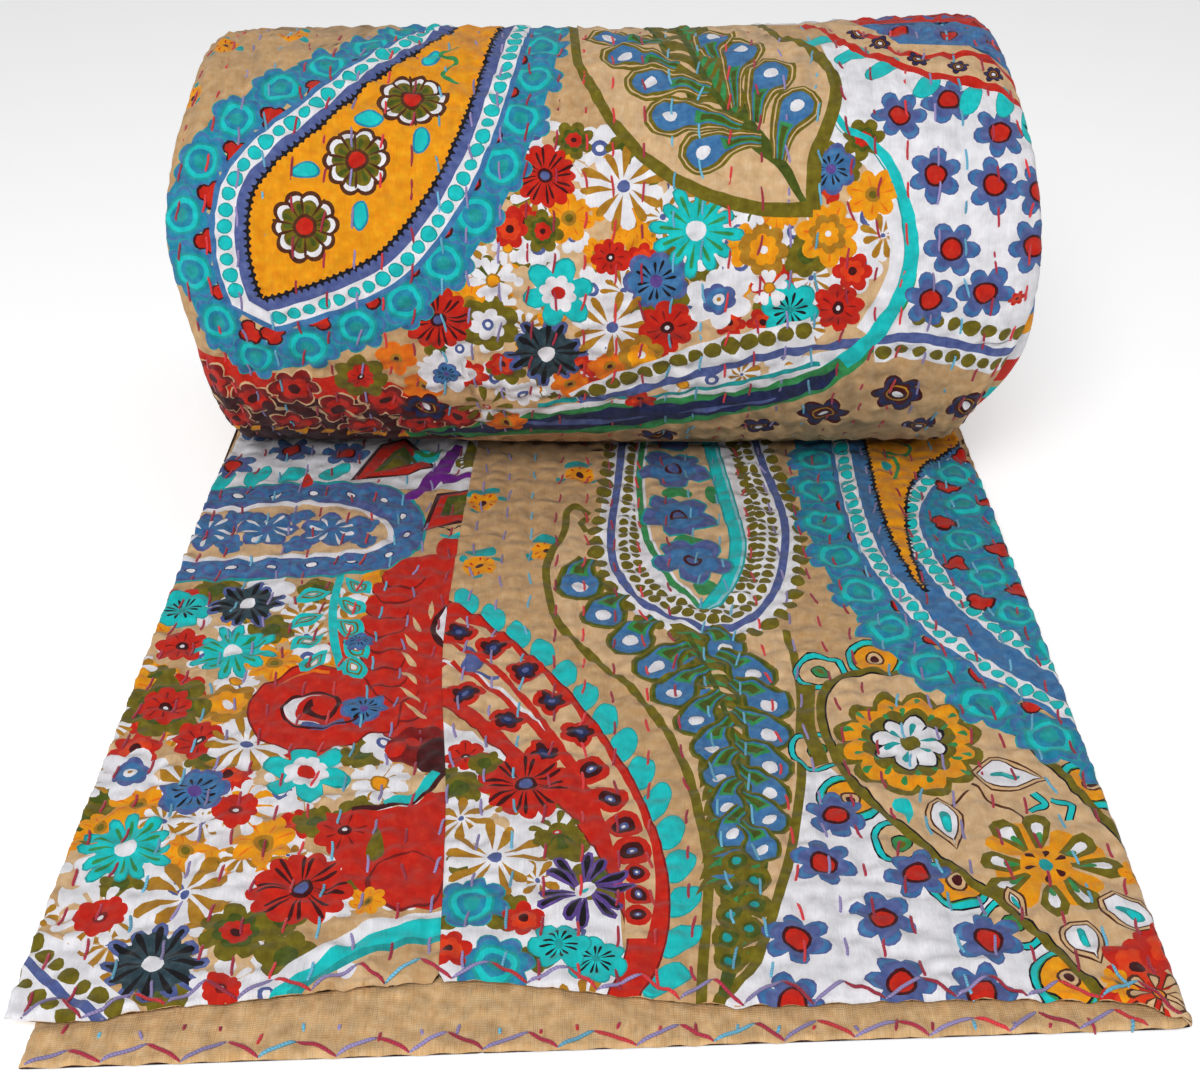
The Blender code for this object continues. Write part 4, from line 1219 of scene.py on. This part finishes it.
def lie_wound(u, angle, depth, right_column=3):
    """A point of the wound cloth: the spiral's radius at this angle, less the depth under its
    outer face, on a circle a little wider than high. Near the roll's ends the radius rounds off
    and x follows the uneven edge. The angle runs from +Y over the top, and on past a full turn."""
    turn = np.radians(angle)
    swell = RIGHT_SWELL * ease(u / (0.95 * HALF_WIDTH))
    spiral = TURN_RADIUS + swell + STACK * (CONTACT - angle) / (CONTACT - FLOOR)
    lumps = 0.0006 * np.sin(2 * turn + 14 * u) + 0.0005 * np.sin(5 * turn - 21 * u)
    lumps = lumps * ease((angle - FLOOR) / 60) * ease((CONTACT - angle) / 30)
    near_rim = np.clip((np.abs(u) - HALF_WIDTH + END_ROUND) / END_ROUND, 0, 1.2) ** 2
    inward = np.clip((spiral - depth) / TURN_RADIUS, 0, 1.1)
    radius = spiral - depth + lumps - END_DROP * near_rim * ease((angle - FLOOR) / 40) * inward
    place = (angle - FLOOR) % 360 + FLOOR
    left, right = (smooth_table(place, END_OFFSETS, column) for column in (1, right_column))
    shift = np.where(u < 0, -left, right)
    near_end = np.clip(1 - (HALF_WIDTH - np.abs(u)) / END_REACH, 0, 1) ** 2
    y = ROLL_CENTRE + radius * np.cos(turn) * (1 + SQUASH)
    z = STACK + (TURN_RADIUS + swell) * (1 - SQUASH) + radius * np.sin(turn) * (1 - SQUASH)
    return np.stack([u + shift * near_end * inward**2, y, np.maximum(z, 0.0)], -1) + ORIGIN


def wrap_face(u, v):
    """The printed face of the outer turn, v along the cloth from where it meets the flat part."""
    sink = VALLEY - quilted(u, v + ROW_SHIFT) + 0.5 * LAYER * rounding(u + HALF_WIDTH, 0.5 * LAYER)
    sink = sink + 0.5 * STACK * rounding(HALF_WIDTH - u, 0.5 * STACK)
    return lie_wound(u, CONTACT - np.degrees(v / WRAP_RADIUS), sink)


def wrap_back(u, v):
    """The backing of the outer turn."""
    sink = LAYER - 0.5 * LAYER * rounding(u + HALF_WIDTH, 0.5 * LAYER)
    return lie_wound(u, CONTACT - np.degrees(v / WRAP_RADIUS), sink)


def half_turned(marks, height):
    """The same print upside down, x and y changing sign about half the height. Of its longer
    outlines, every second or third point is kept."""
    turned = [(ink, (0, height) - np.roll(points, -1, 0)) for ink, points in marks]
    return [(ink, points[:: 1 + (len(points) > 10) + (len(points) > 50)]) for ink, points in turned]


roll_flame = curve([
    (-156, 160), (-139, 165), (-120, 172), (-100, 183), (-83, 203), (-71, 224), (-62, 250), (-54, 292),
    (-50, 350), (-66, 350), (-77, 310), (-97, 281), (-127, 243), (-145, 226), (-158, 208), (-160, 181),
    (-156, 160),
])
roll_ring = curve([
    (-84, 360), (-92, 330), (-106, 304), (-124, 286), (-148, 265), (-166, 248), (-180, 230), (-190, 207),
    (-190, 181), (-182, 154), (-167, 130), (-138, 134), (-116, 144), (-96, 154), (-75, 173), (-60, 194),
    (-46, 220), (-36, 250), (-30, 280), (-25, 350),
])
roll_leaf_left = curve([
    (-14, 346), (-11, 290), (-8, 278), (-3, 265), (3, 251), (13, 236), (25, 223), (40, 213), (57, 205.5),
    (75, 201), (97, 200),
])
roll_leaf_right = curve([
    (78, 346), (82, 320), (88, 305), (97, 296), (104, 281), (109, 265), (108, 251), (103, 236), (98, 223),
    (97, 200),
])
roll_stem = curve([
    (36, 346), (40, 313), (43, 296), (47, 280), (52, 263), (60, 250), (70, 236), (82, 223), (93, 203),
])
sea_arc = curve([
    (104, 254), (111, 240), (126, 228), (136, 209), (141.5, 188), (141.5, 171), (136, 155), (126, 138),
    (113, 125), (104, 118),
])
upper_dots = curve([
    (-12, 101), (7, 112), (22, 120), (37, 127), (54, 134), (71, 138.5), (87, 142), (99, 145),
])
slate_border = curve([
    (-10, 98), (20, 108), (39, 116), (59, 123), (78, 130), (98, 134), (112, 136), (128, 138), (143, 140),
    (161, 137), (178, 133), (206, 127),
])
red_border = curve([
    (100, 330), (109, 311), (119, 290), (134, 278), (151, 267), (172, 261), (188, 255), (206, 246),
])
RIMMED = (("olive", 1.26), ("sand", 1.1), ("olive", 1.02), ("blue", 0.84))  # rings of a drop, outer first

roll_print = (
    patch("sand", [
        (-70, 150), (-40, 230), (0, 240), (92, 205), (110, 250), (145, 200), (130, 140), (60, 105),
        (-60, 100),
    ])
    + flowers("white bloom", [
        (0, 232), (20, 236), (-8, 215), (28, 214), (-30, 240), (118, 175), (122, 196), (60, 176),
    ], 13)
    + mark("white", [(118, 248), (205, 262), (205, 136), (128, 136), (141, 180)])
    + mark("white", [(104, 300), (205, 270), (205, 240), (112, 244)])
    + scattered(("sand bloom", "olive patch", "white bloom", "amber bloom"), (-76, 104, 108, 232), 15, 11, 8)
    + scattered(FILLING, (-78, 100, 106, 236), 13, 9.5, 12)
    + scattered(
        ("amber bloom", "red patch", "gold rays", "sand bloom", "olive patch"), (60, 132, 170, 232),
        17, 10, 3,
    )
    # Low on the roll: a red ground, maroon towards the bottom, with tan curls, a slate wash in the middle and
    # a tan corner.
    + patch("red", [
        (-206, 132), (-176, 126), (-150, 118), (-100, 112), (-66, 84), (-80, 40), (-206, 30),
    ])
    + patch("maroon", [(-206, 104), (-150, 100), (-100, 98), (-74, 78), (-80, 40), (-206, 30)])
    + flowers("wine bloom", [
        (-192, 113), (-170, 99), (-147, 108), (-127, 91), (-104, 99), (-88, 76), (-186, 78), (-152, 74),
        (-118, 68),
    ], 14)
    + row_of_leaves("sand", curve([(-200, 92), (-150, 86), (-96, 76)]), 19, 15, 2.6, 0.9)
    + row_of("maroon", curve([(-204, 102), (-150, 92), (-80, 84)]), 17, 3.6)
    + row_of_leaves("amber", curve([(-200, 60), (-150, 56), (-96, 50)]), 13, 13, 4.5, -0.6)
    + patch("white", [(-72, 90), (0, 98), (60, 112), (112, 134), (112, 118), (60, 100), (-70, 66)])
    + line("sea", [(-30, 96), (4, 101), (31, 104), (59, 111), (79, 118), (104, 126)], 2.6)
    + patch("tan", [
        (116, 131), (150, 132), (206, 122), (206, 30), (-60, 30), (0, 60), (60, 84), (100, 108), (116, 131),
    ])
    + field(
        ("dark bloom", 13, (143.5, 105), (184, 95), (110, 88)),
        ("dark bloom", 10, (160, 74), (80, 72), (196, 66), (30, 58)),
    )
    + ribbon("white", sea_arc[:56], 20)
    + ribbon("green", beside(sea_arc[40:], 3), np.linspace(1, 12, len(sea_arc) - 40))
    + ribbon("turquoise", sea_arc, np.linspace(2.5, 9.5, len(sea_arc)))
    + ribbon("sea", beside(sea_arc, -3), np.linspace(0.4, 1.6, len(sea_arc)))
    + patch("green", [
        (-92, 66), (-40, 84), (0, 95), (40, 102), (80, 111), (118, 130), (108, 108), (62, 84), (0, 66),
        (-92, 54), (-92, 66),
    ])
    + patch("navy", [
        (-88, 64), (-40, 79), (0, 91), (40, 98), (80, 107), (112, 122), (104, 108), (60, 88), (0, 71),
        (-88, 60), (-88, 64),
    ])
    + patch("slate", [(-40, 78), (20, 84), (84, 102), (60, 92), (-20, 74)])
    # A plain maroon band across the whole width, where the roll turns under onto the flat part: painted
    # shade.
    + mark("maroon", [(-206, 36), (206, 36), (206, -30), (-206, -30)])
    # The field of flowers.
    + field(
        ("wine bloom", 13, (-70, 84)), ("orange bloom", 11, (-84, 110), (-46, 78)),
        ("orange bloom", 10, (-14, 112), (5, 124), (-96, 128)),
        ("amber bloom", 12, (-14, 198), (124, 206), (-60, 158)),
        ("olive bloom", 10, (-26, 192), (-12, 236), (-52, 147), (120, 232)),
        ("olive patch", 15, (-52, 147)), ("white bloom", 9, (-52, 147), (31, 122)),
        ("red patch", 8, (20, 100), (-46, 124), (76, 148)), ("dark bloom", 12, (-85, 93)),
        ("olive patch", 14, (-114, 116)), ("red bloom", 7, (-114, 116)), ("white bloom", 14, (-73, 118)),
        ("slate star", 7, (-73, 118)), ("white bloom", 9, (-37, 104)), ("olive rays", 14, (-55, 94)),
        ("red star", 16, (-75, 149)), ("red star", 15, (-25, 218)), ("black star", 18, (-25, 131)),
        ("slate star", 15, (26, 169)), ("sea star", 19, (44, 192)), ("ochre rays", 19, (11, 213)),
        ("ochre rays", 18, (6, 146)), ("white daisy", 11, (-49, 169)), ("sea bloom", 17, (-19, 163)),
        ("red patch", 9, (-41, 193)), ("red bloom", 9, (5, 180)), ("red bloom", 14, (31.5, 146)),
        ("red bloom", 12, (110, 155)), ("teal burr", 14, (88, 154)), ("ring eye", 8, (55, 160)),
        ("ochre bloom", 12, (75, 182.5), (20, 130)), ("amber bloom", 15, (104, 189)),
        ("ochre bloom", 9, (104, 189)), ("slate star", 12, (105, 218)),
        ("white daisy", 9, (78, 165), (70, 202)),
    )
    # The dotted border below it.
    + ribbon("white", beside(upper_dots, -2), 15) + ribbon("white", slate_border[56:], 24)
    + row_of("olive", upper_dots, 8.6, 4.2)
    + row_of("olive", beside(slate_border[64:], 9.5), 8.4, 3.7)
    + row_of("olive", beside(slate_border[56:], -7), 8.4, 3.6)
    + ribbon("slate", slate_border, 4.6)
    # The arc, and the blue flowers on white at the right, under a red and tan border.
    + ribbon("turquoise", sea_arc[:64], np.linspace(2.5, 9, 64))
    + field(
        ("blue eye", 12, (137, 243), (182.5, 233), (152, 214), (178, 209), (160, 181), (195.6, 182),
         (176, 161), (199, 207), (160, 250), (152, 158)),
        ("red patch", 4, (190, 158)),
    )
    + mark("sand", np.concatenate([red_border, [(206, 340), (100, 340)]]))
    + fingers("turquoise", [
        (103, 298, 0.4), (119, 283, 0.5), (132, 272, 0.6), (151, 259, 0.9), (171, 251, 1.1), (188, 249, 1.2),
        (200, 240, 1.3),
    ], 18, 9)
    + ribbon("red", red_border, 4.4)
    + line("red", [(124, 312), (140, 284), (157, 280), (176, 280), (188, 273), (206, 256)], 4)
    + flowers("dark bloom", [(133, 292), (149, 277), (167.5, 271), (185, 265), (124, 304)], 5.5)
    + mark("blue", [(128, 316), (142, 292), (176, 286), (206, 266), (206, 322), (128, 330)])
    + flowers("blue eye", [(144, 306), (168, 300), (192, 292)], 11)
    + mark("red", [(118, 346), (128, 322), (206, 314), (206, 352)])
    + row_of("slate", curve([(126, 340), (160, 330), (206, 324)]), 11, 4)
    # The amber flame in its bands, with three wheels in it, and the ring of flowers round it.
    + mark("tan", [(-206, 222), (-190, 232), (-124, 306), (-96, 352), (-206, 352)])
    + mark("sand", grown(roll_flame, 24)) + ringed_flowers(roll_ring, 26.5, 14, 0.82)
    + mark("blue", grown(roll_flame, 18)) + mark("white", grown(roll_flame, 15.4))
    + row_of("sea", grown(roll_flame, 11.2), 7.6, 3.5)
    + row_of("turquoise", grown(roll_flame, 11.2), 7.6, 2.9)
    + mark("slate", grown(roll_flame, 6.8)) + mark("black", grown(roll_flame, 1.2))
    + mark("amber", roll_flame) + row_of_leaves("black", mark("", roll_flame)[0][1], 3.4, 4, 2.2, 3.14, 1)
    + flowers("wheel", [(-134.6, 194), (-111, 225), (-87, 258)], 15)
    + [one for x, y, turn in (
        (-134.6, 220, 0), (-109.5, 199, 1.5), (-106.5, 246, 0), (-82, 235, 1.5), (-80, 288, 1.2),
    ) for one in dab("teal", x, y, 7, 0.6, turn) + dab("turquoise", x, y, 6, 0.52, turn)]
    + line("green", [(-66, 268), (-74, 276), (-68, 286), (-76, 292), (-68, 300)], 2.2)
    + field(("ladybird", 8, (-184, 300), (-150, 316)), ("ladybird", 6, (-196, 262)))
    # The feather leaf.
    + mark("sand", np.concatenate([roll_leaf_left, roll_leaf_right[::-1]]))
    + ribbon("moss", roll_stem, np.interp(np.arange(65), (0, 30, 50, 64), (30, 24, 9, 2)))
    + row_of_leaves("olive", roll_stem[:44], 9, 24, 9, 0.9)
    + row_of_leaves("olive", roll_stem[:44], 9, 20, 9, 2.3)
    + row_of_leaves("green", roll_stem[:44], 9, 16, 2.8, 0.9)
    + row_of_leaves("sand", roll_stem[:44], 13, 17, 2.4, 2.3)
    + ribbon("moss", roll_stem, 3.2) + ribbon("olive", roll_leaf_left, np.linspace(4.4, 7, 81))
    + ribbon("olive", roll_leaf_right, np.linspace(4.4, 7, 73))
    + [one for x, y, r, right, up in (
        (11.7, 290.5, 9.5, 25, -10), (23, 270, 9.5, 28, -7), (32, 249, 9.5, 33, -8), (47, 229, 9, 27, 5),
        (67, 293, 9.5, -4, -40), (80, 272, 9.5, -8, -28), (91, 251, 9, -9, -27), (55, 310, 9, 0, -24),
        (4, 312, 9, 26, -8),
    ) for one in plume(x, y, r, (right, up), RIMMED)]
)
roll_outline = straight(
    (-SIDE, WRAP_START), (SIDE, WRAP_START), (SIDE, WRAP_END), (-SIDE, WRAP_END), (-SIDE, WRAP_START),
    pitch=4,
)
roll_wrap = sew_sheet(
    "roll_wrap", roll_outline, half_turned(left_print + right_print, TURNED_REPEAT) + roll_print, "tan",
    wrap_face, wrap_back, "backing", printed_cotton, spacing=(3.4, 9.0), inner=(16.0, 14.0),
)

# ---------------------------------------------------------------------------------------------
# The inner turns: the rest of the folded length, wound to the roll's core. They show at its ends,
# as rounded folds on the right and as pairs of open edges, backing to backing, on the left.

CORE_RADIUS = 0.009
FOLD_HIDDEN = 14.0  # degrees over which the inner turns come out from under the outer one
SLIT_DEPTH = 0.014
OUTER_POINTS = 16  # of the section's points, how many belong to the outer layer
CLOTH_REACH = 0.160  # the flat middle of the section, on either side
GROUNDS = (
    "tan", "white", "red", "blue", "turquoise", "olive", "amber", "slate", "maroon", "white", "sand", "red",
)


def turn_profile():
    """The section of the two wound layers, from the left edge over the outer face, round the fold
    and back: x, depth under the outer face, whether it is the outer layer's, and its cloth."""
    edge, fold = 0.5 * LAYER, 0.5 * STACK - 0.0002
    left, right = HALF_WIDTH - edge, HALF_WIDTH - 0.5 * STACK
    points = [
        (-left - edge * math.sin(a), edge - edge * math.cos(a), 1, a > 2)
        for a in np.radians((180, 130, 90, 50, 0))
    ]
    points += [(x, 0.0, 1, 0) for x in np.linspace(-CLOTH_REACH, CLOTH_REACH, 9)]
    points += [
        (right + fold * math.sin(a), 0.5 * STACK - fold * math.cos(a), a < 1.5, 0)
        for a in np.radians(range(0, 181, 30))
    ]
    points += [(x, STACK, 0, 0) for x in np.linspace(CLOTH_REACH, -CLOTH_REACH, 9)]
    points += [
        (-left - edge * math.sin(a), STACK - edge + edge * math.cos(a), 0, a > 1)
        for a in np.radians((0, 50, 90, 130, 180))
    ]
    points += [(-left + SLIT_DEPTH, STACK - LAYER, 0, 1), (-left + SLIT_DEPTH, LAYER, 1, 1)]
    return np.array(points, float)


def wind_turns():
    """Carries the section along the spiral. On the outer turn its outer layer is drawn in under
    the outer wrap. Cloth shows in stretches of ink along each turn's edge."""
    profile = turn_profile()
    last = CONTACT + (CONTACT - FLOOR) * (TURN_RADIUS - CORE_RADIUS) / STACK
    angle = np.arange(FLOOR, last, 3.0)[:, None]
    under = 1 - ease((angle - CONTACT + 4) / FOLD_HIDDEN)
    u, depth, outer, lining = profile.T
    near = ease((np.abs(u) - 0.17) / 0.03) * np.sign(u)
    uneven = 0.0011 * np.sin(np.radians(angle) * 1.7) + 0.0008 * np.sin(np.radians(angle) * 5.3 + 1)
    u = u + near * uneven - under * outer * np.where(u < 0, -SLIT_DEPTH, 0.0030)
    depth = depth + LAYER * under * outer + 0.0003
    flush, bare = (lie_wound(u, np.broadcast_to(angle, u.shape), depth, column) for column in (3, 2))
    place = (under[..., None] * flush + (1 - under[..., None]) * bare).reshape(-1, 3)
    stations, sides = u.shape
    i, j = np.meshgrid(np.arange(stations - 1), np.arange(sides), indexing="ij")
    k = (j + 1) % sides
    here, beyond = i * sides, (i + 1) * sides
    quads = np.stack([here + j, beyond + j, beyond + k, here + k], -1).reshape(-1, 4)
    caps = [list(range(sides))[::-1], list(range((stations - 1) * sides, stations * sides))]
    dice = np.random.default_rng(7)
    drawn = dice.integers(0, len(GROUNDS), (stations, 2))
    stretch = np.repeat(drawn, dice.integers(1, 5, stations), axis=0)[: stations - 1]
    paints = np.array([INKS[ink] for ink in GROUNDS] + [INKS["backing"]])
    ink = np.where(j < OUTER_POINTS, stretch[:, :1], stretch[:, 1:])
    ink = np.where(lining[j] * lining[k] > 0, len(GROUNDS), ink).ravel()
    paint = np.concatenate([np.tile(INKS["tan"], (2 * sides, 1)), paints[ink].repeat(4, 0)])
    run = np.radians(angle) * 0.1 * (1 - (angle - FLOOR) / (2 * last))
    cloth = np.stack([u, np.broadcast_to(run, u.shape)], -1).reshape(-1, 2)
    corners = np.concatenate([caps[0], caps[1], quads.ravel()])
    faces = caps + quads.tolist()
    smooth = np.arange(len(faces)) > 1
    return finished("wound_turns", place, faces, paint, cloth[corners], smooth, printed_cotton)


wound_turns = wind_turns()

# ---------------------------------------------------------------------------------------------
# The running stitches: thick soft cotton thread in crimson, lavender and sky blue, taken through
# all the layers by hand, about 11 mm on the face and 9 mm behind it.

THREADS = {
    "c": (0.42, 0.006, 0.040), "r": (0.72, 0.020, 0.030), "l": (0.30, 0.24, 0.50), "s": (0.13, 0.46, 0.66),
}
STITCH_LENGTH = 0.0108
THREAD_RADIUS = 0.00058
FLAT_ROWS = "ccslccrslcllscrcrcssrlccslccsc"  # each row's dye, from the left
WRAP_ROWS = "crlscclrcsllccrrcssrclsccrlscr"


def thread_material():
    """Cotton thread: the dye at each corner, with the turns of the strand as waves along it, and the
    colour darker in the grooves between the turns as painted shade.
    """
    material = bpy.data.materials.new("stitch_thread")
    material.use_nodes = True
    tree = material.node_tree
    shader = tree.nodes["Principled BSDF"]
    shader.inputs["Roughness"].default_value = 0.62
    shader.inputs["Sheen Weight"].default_value = 0.25
    dye, strand = tree.nodes.new("ShaderNodeVertexColor"), tree.nodes.new("ShaderNodeUVMap")
    dye.layer_name, strand.uv_map = "ink", "cloth"
    wave, bump, groove_shade = (tree.nodes.new(f"ShaderNode{kind}") for kind in ("TexWave", "Bump", "MapRange"))
    wave.wave_type, wave.bands_direction = "BANDS", "DIAGONAL"
    wave.inputs["Scale"].default_value = 520.0
    bump.inputs["Distance"].default_value = 0.00015
    # The colour runs from 0.72 to 1.1 times the dye with the waves: painted shade in the grooves of the
    # twist.
    groove_shade.inputs["To Min"].default_value = 0.72
    groove_shade.inputs["To Max"].default_value = 1.1
    shaded = tree.nodes.new("ShaderNodeVectorMath")
    shaded.operation = "SCALE"
    for source, target in (
        (strand.outputs[0], wave.inputs["Vector"]), (wave.outputs["Fac"], bump.inputs["Height"]),
        (wave.outputs["Fac"], groove_shade.inputs["Value"]), (dye.outputs["Color"], shaded.inputs[0]),
        (groove_shade.outputs["Result"], shaded.inputs["Scale"]), (shaded.outputs[0], shader.inputs["Base Color"]),
        (bump.outputs["Normal"], shader.inputs["Normal"]),
    ):
        tree.links.new(source, target)
    return material


stitch_thread = thread_material()


def sew(name, face, u, v, dyes, radius=THREAD_RADIUS, stands=0.00030, sinks=0.00085):
    """Stitches on a face, one for each row of u and v: a four-sided tube along each path, which
    stands over the face in its middle and dives into the cloth at its ends as t^6."""
    count, steps_along = u.shape
    t = np.linspace(-1, 1, steps_along)
    out = normals(face, u, v)
    path = face(u, v) + out * (stands - sinks * t**6)[:, None]
    way = np.gradient(path, axis=1)
    side = np.cross(way, out)
    side = side / np.maximum(np.linalg.norm(side, axis=-1, keepdims=True), 1e-12)
    around = np.radians([45, 135, 225, 315])
    thick = radius * (1 - 0.45 * t**8)[:, None, None]
    across, above = 1.25 * np.cos(around)[:, None], 0.95 * np.sin(around)[:, None]
    ring = across * side[:, :, None] + above * out[:, :, None]
    place = (path[:, :, None] + thick * ring).reshape(-1, 3)
    i, j = np.meshgrid(np.arange(steps_along - 1), np.arange(4), indexing="ij")
    k = (j + 1) % 4
    quads = np.stack([i * 4 + j, i * 4 + k, (i + 1) * 4 + k, (i + 1) * 4 + j], -1).reshape(-1, 4)
    end = 4 * (steps_along - 1)
    quads = np.concatenate([quads, [[3, 2, 1, 0], [end, end + 1, end + 2, end + 3]]])
    every = (quads + np.arange(count)[:, None, None] * 4 * steps_along).reshape(-1, 4)
    shade = np.random.default_rng(count).uniform(0.75, 1.2, (count, 1))
    paint = (np.array([THREADS[dye] for dye in dyes]) * shade).repeat(len(quads) * 4, 0)
    along = np.linalg.norm(np.diff(path, axis=1, prepend=path[:, :1]), axis=-1).cumsum(1)
    strand = np.broadcast_arrays(along[..., None], np.arange(4) * 0.0006)
    strand = np.stack(strand, -1).reshape(-1, 2)[every.ravel()]
    finished(name, place, every.tolist(), paint, strand, np.ones(len(every), bool), stitch_thread)


def running_stitches(name, face, first, last, shift, row_dyes):
    """Rows of stitches between two places along the cloth, uneven in length, slant and place."""
    row, k = np.meshgrid(np.arange(ROWS), np.arange(-20, 60), indexing="ij")
    middle = ROW_PHASE[row] + k * STITCH_PITCH - shift
    kept = (middle > first(row_line(row, 0.1)) + 0.5 * STITCH_LENGTH) & (middle < last)
    row, middle = row[kept], middle[kept]
    dice = np.random.default_rng(len(row))
    middle = middle + dice.normal(0, 0.0007, len(row))
    length = STITCH_LENGTH * dice.uniform(0.78, 1.18, len(row))
    t = np.linspace(-1, 1, 6)
    v = middle[:, None] + 0.5 * length[:, None] * t
    u = row_line(row[:, None], v + shift) + dice.normal(0, 0.0004, (len(row), 1))
    u = u + dice.normal(0, 0.0007, (len(row), 1)) * t + 0.00025 * np.sin(3 * t + row[:, None])
    sew(name, face, u, v, [row_dyes[r] for r in row])


running_stitches("flat_stitches", upper_face, front_edge, last=0.392, shift=0.0, row_dyes=FLAT_ROWS)
running_stitches(
    "wrap_stitches", wrap_face, lambda u: 0.008 + 0 * u, last=0.638, shift=ROW_SHIFT, row_dyes=WRAP_ROWS,
)

# ---------------------------------------------------------------------------------------------
# The edge stitches: a slanting overcast along both front edges, lavender up and red down, and
# the small backs of the quilting on the strip of backing.


def lower_front(u):
    """The lower layer's slanting front edge."""
    return -LOWER_REACH * (HALF_WIDTH - u) / (2 * HALF_WIDTH - LOWER_INSET)


def overcast(name, face, edge, first, last, pitch, tall, seed):
    """Zigzag threads along an edge(u): one leans up from it, the next comes back down."""
    dice = np.random.default_rng(seed)
    foot = np.arange(first, last, pitch)
    foot = foot + dice.normal(0, 0.0009, len(foot))
    top = foot[:-1] + np.diff(foot) * dice.uniform(0.45, 0.62, len(foot) - 1)
    rise = tall * dice.uniform(0.75, 1.2, len(top))
    share = np.linspace(0, 1, 8)
    u_up = foot[:-1, None] + (top - foot[:-1])[:, None] * share
    u_down = top[:, None] + (foot[1:] - top)[:, None] * share
    v_up = edge(u_up) + 0.0003 + rise[:, None] * share
    v_down = edge(u_down) + 0.0003 + rise[:, None] * share[::-1]
    up = ["l" if dice.random() < 0.85 else "s" for _ in top]
    down = ["c" if dice.random() < 0.7 else "r" for _ in top]
    u, v = np.concatenate([u_up, u_down]), np.concatenate([v_up, v_down])
    sew(name, face, u, v, up + down, radius=0.00064, stands=0.00035, sinks=0.0005)


overcast("upper_edge_stitches", upper_face, front_edge, -0.196, 0.199, pitch=0.0245, tall=0.0078, seed=3)
overcast("lower_edge_stitches", lower_face, lower_front, -0.188, 0.190, pitch=0.0250, tall=0.0066, seed=5)

speck_rows = np.arange(1, ROWS - 1)
speck_dice = np.random.default_rng(11)
speck_v = lower_front(row_line(speck_rows, 0.0)) * speck_dice.uniform(0.15, 0.55, len(speck_rows)) + 0.001
speck_t = np.linspace(-1, 1, 5)
speck_length = speck_dice.uniform(0.0010, 0.0028, (len(speck_rows), 1))
speck_slant = speck_dice.normal(0, 0.3, (len(speck_rows), 1))
sew(
    "backing_stitches", lower_face,
    row_line(speck_rows, 0.0)[:, None] + speck_slant * speck_length * speck_t,
    speck_v[:, None] + speck_length * speck_t, [FLAT_ROWS[r] for r in speck_rows],
    radius=0.0006, stands=0.0002, sinks=0.0004,
)
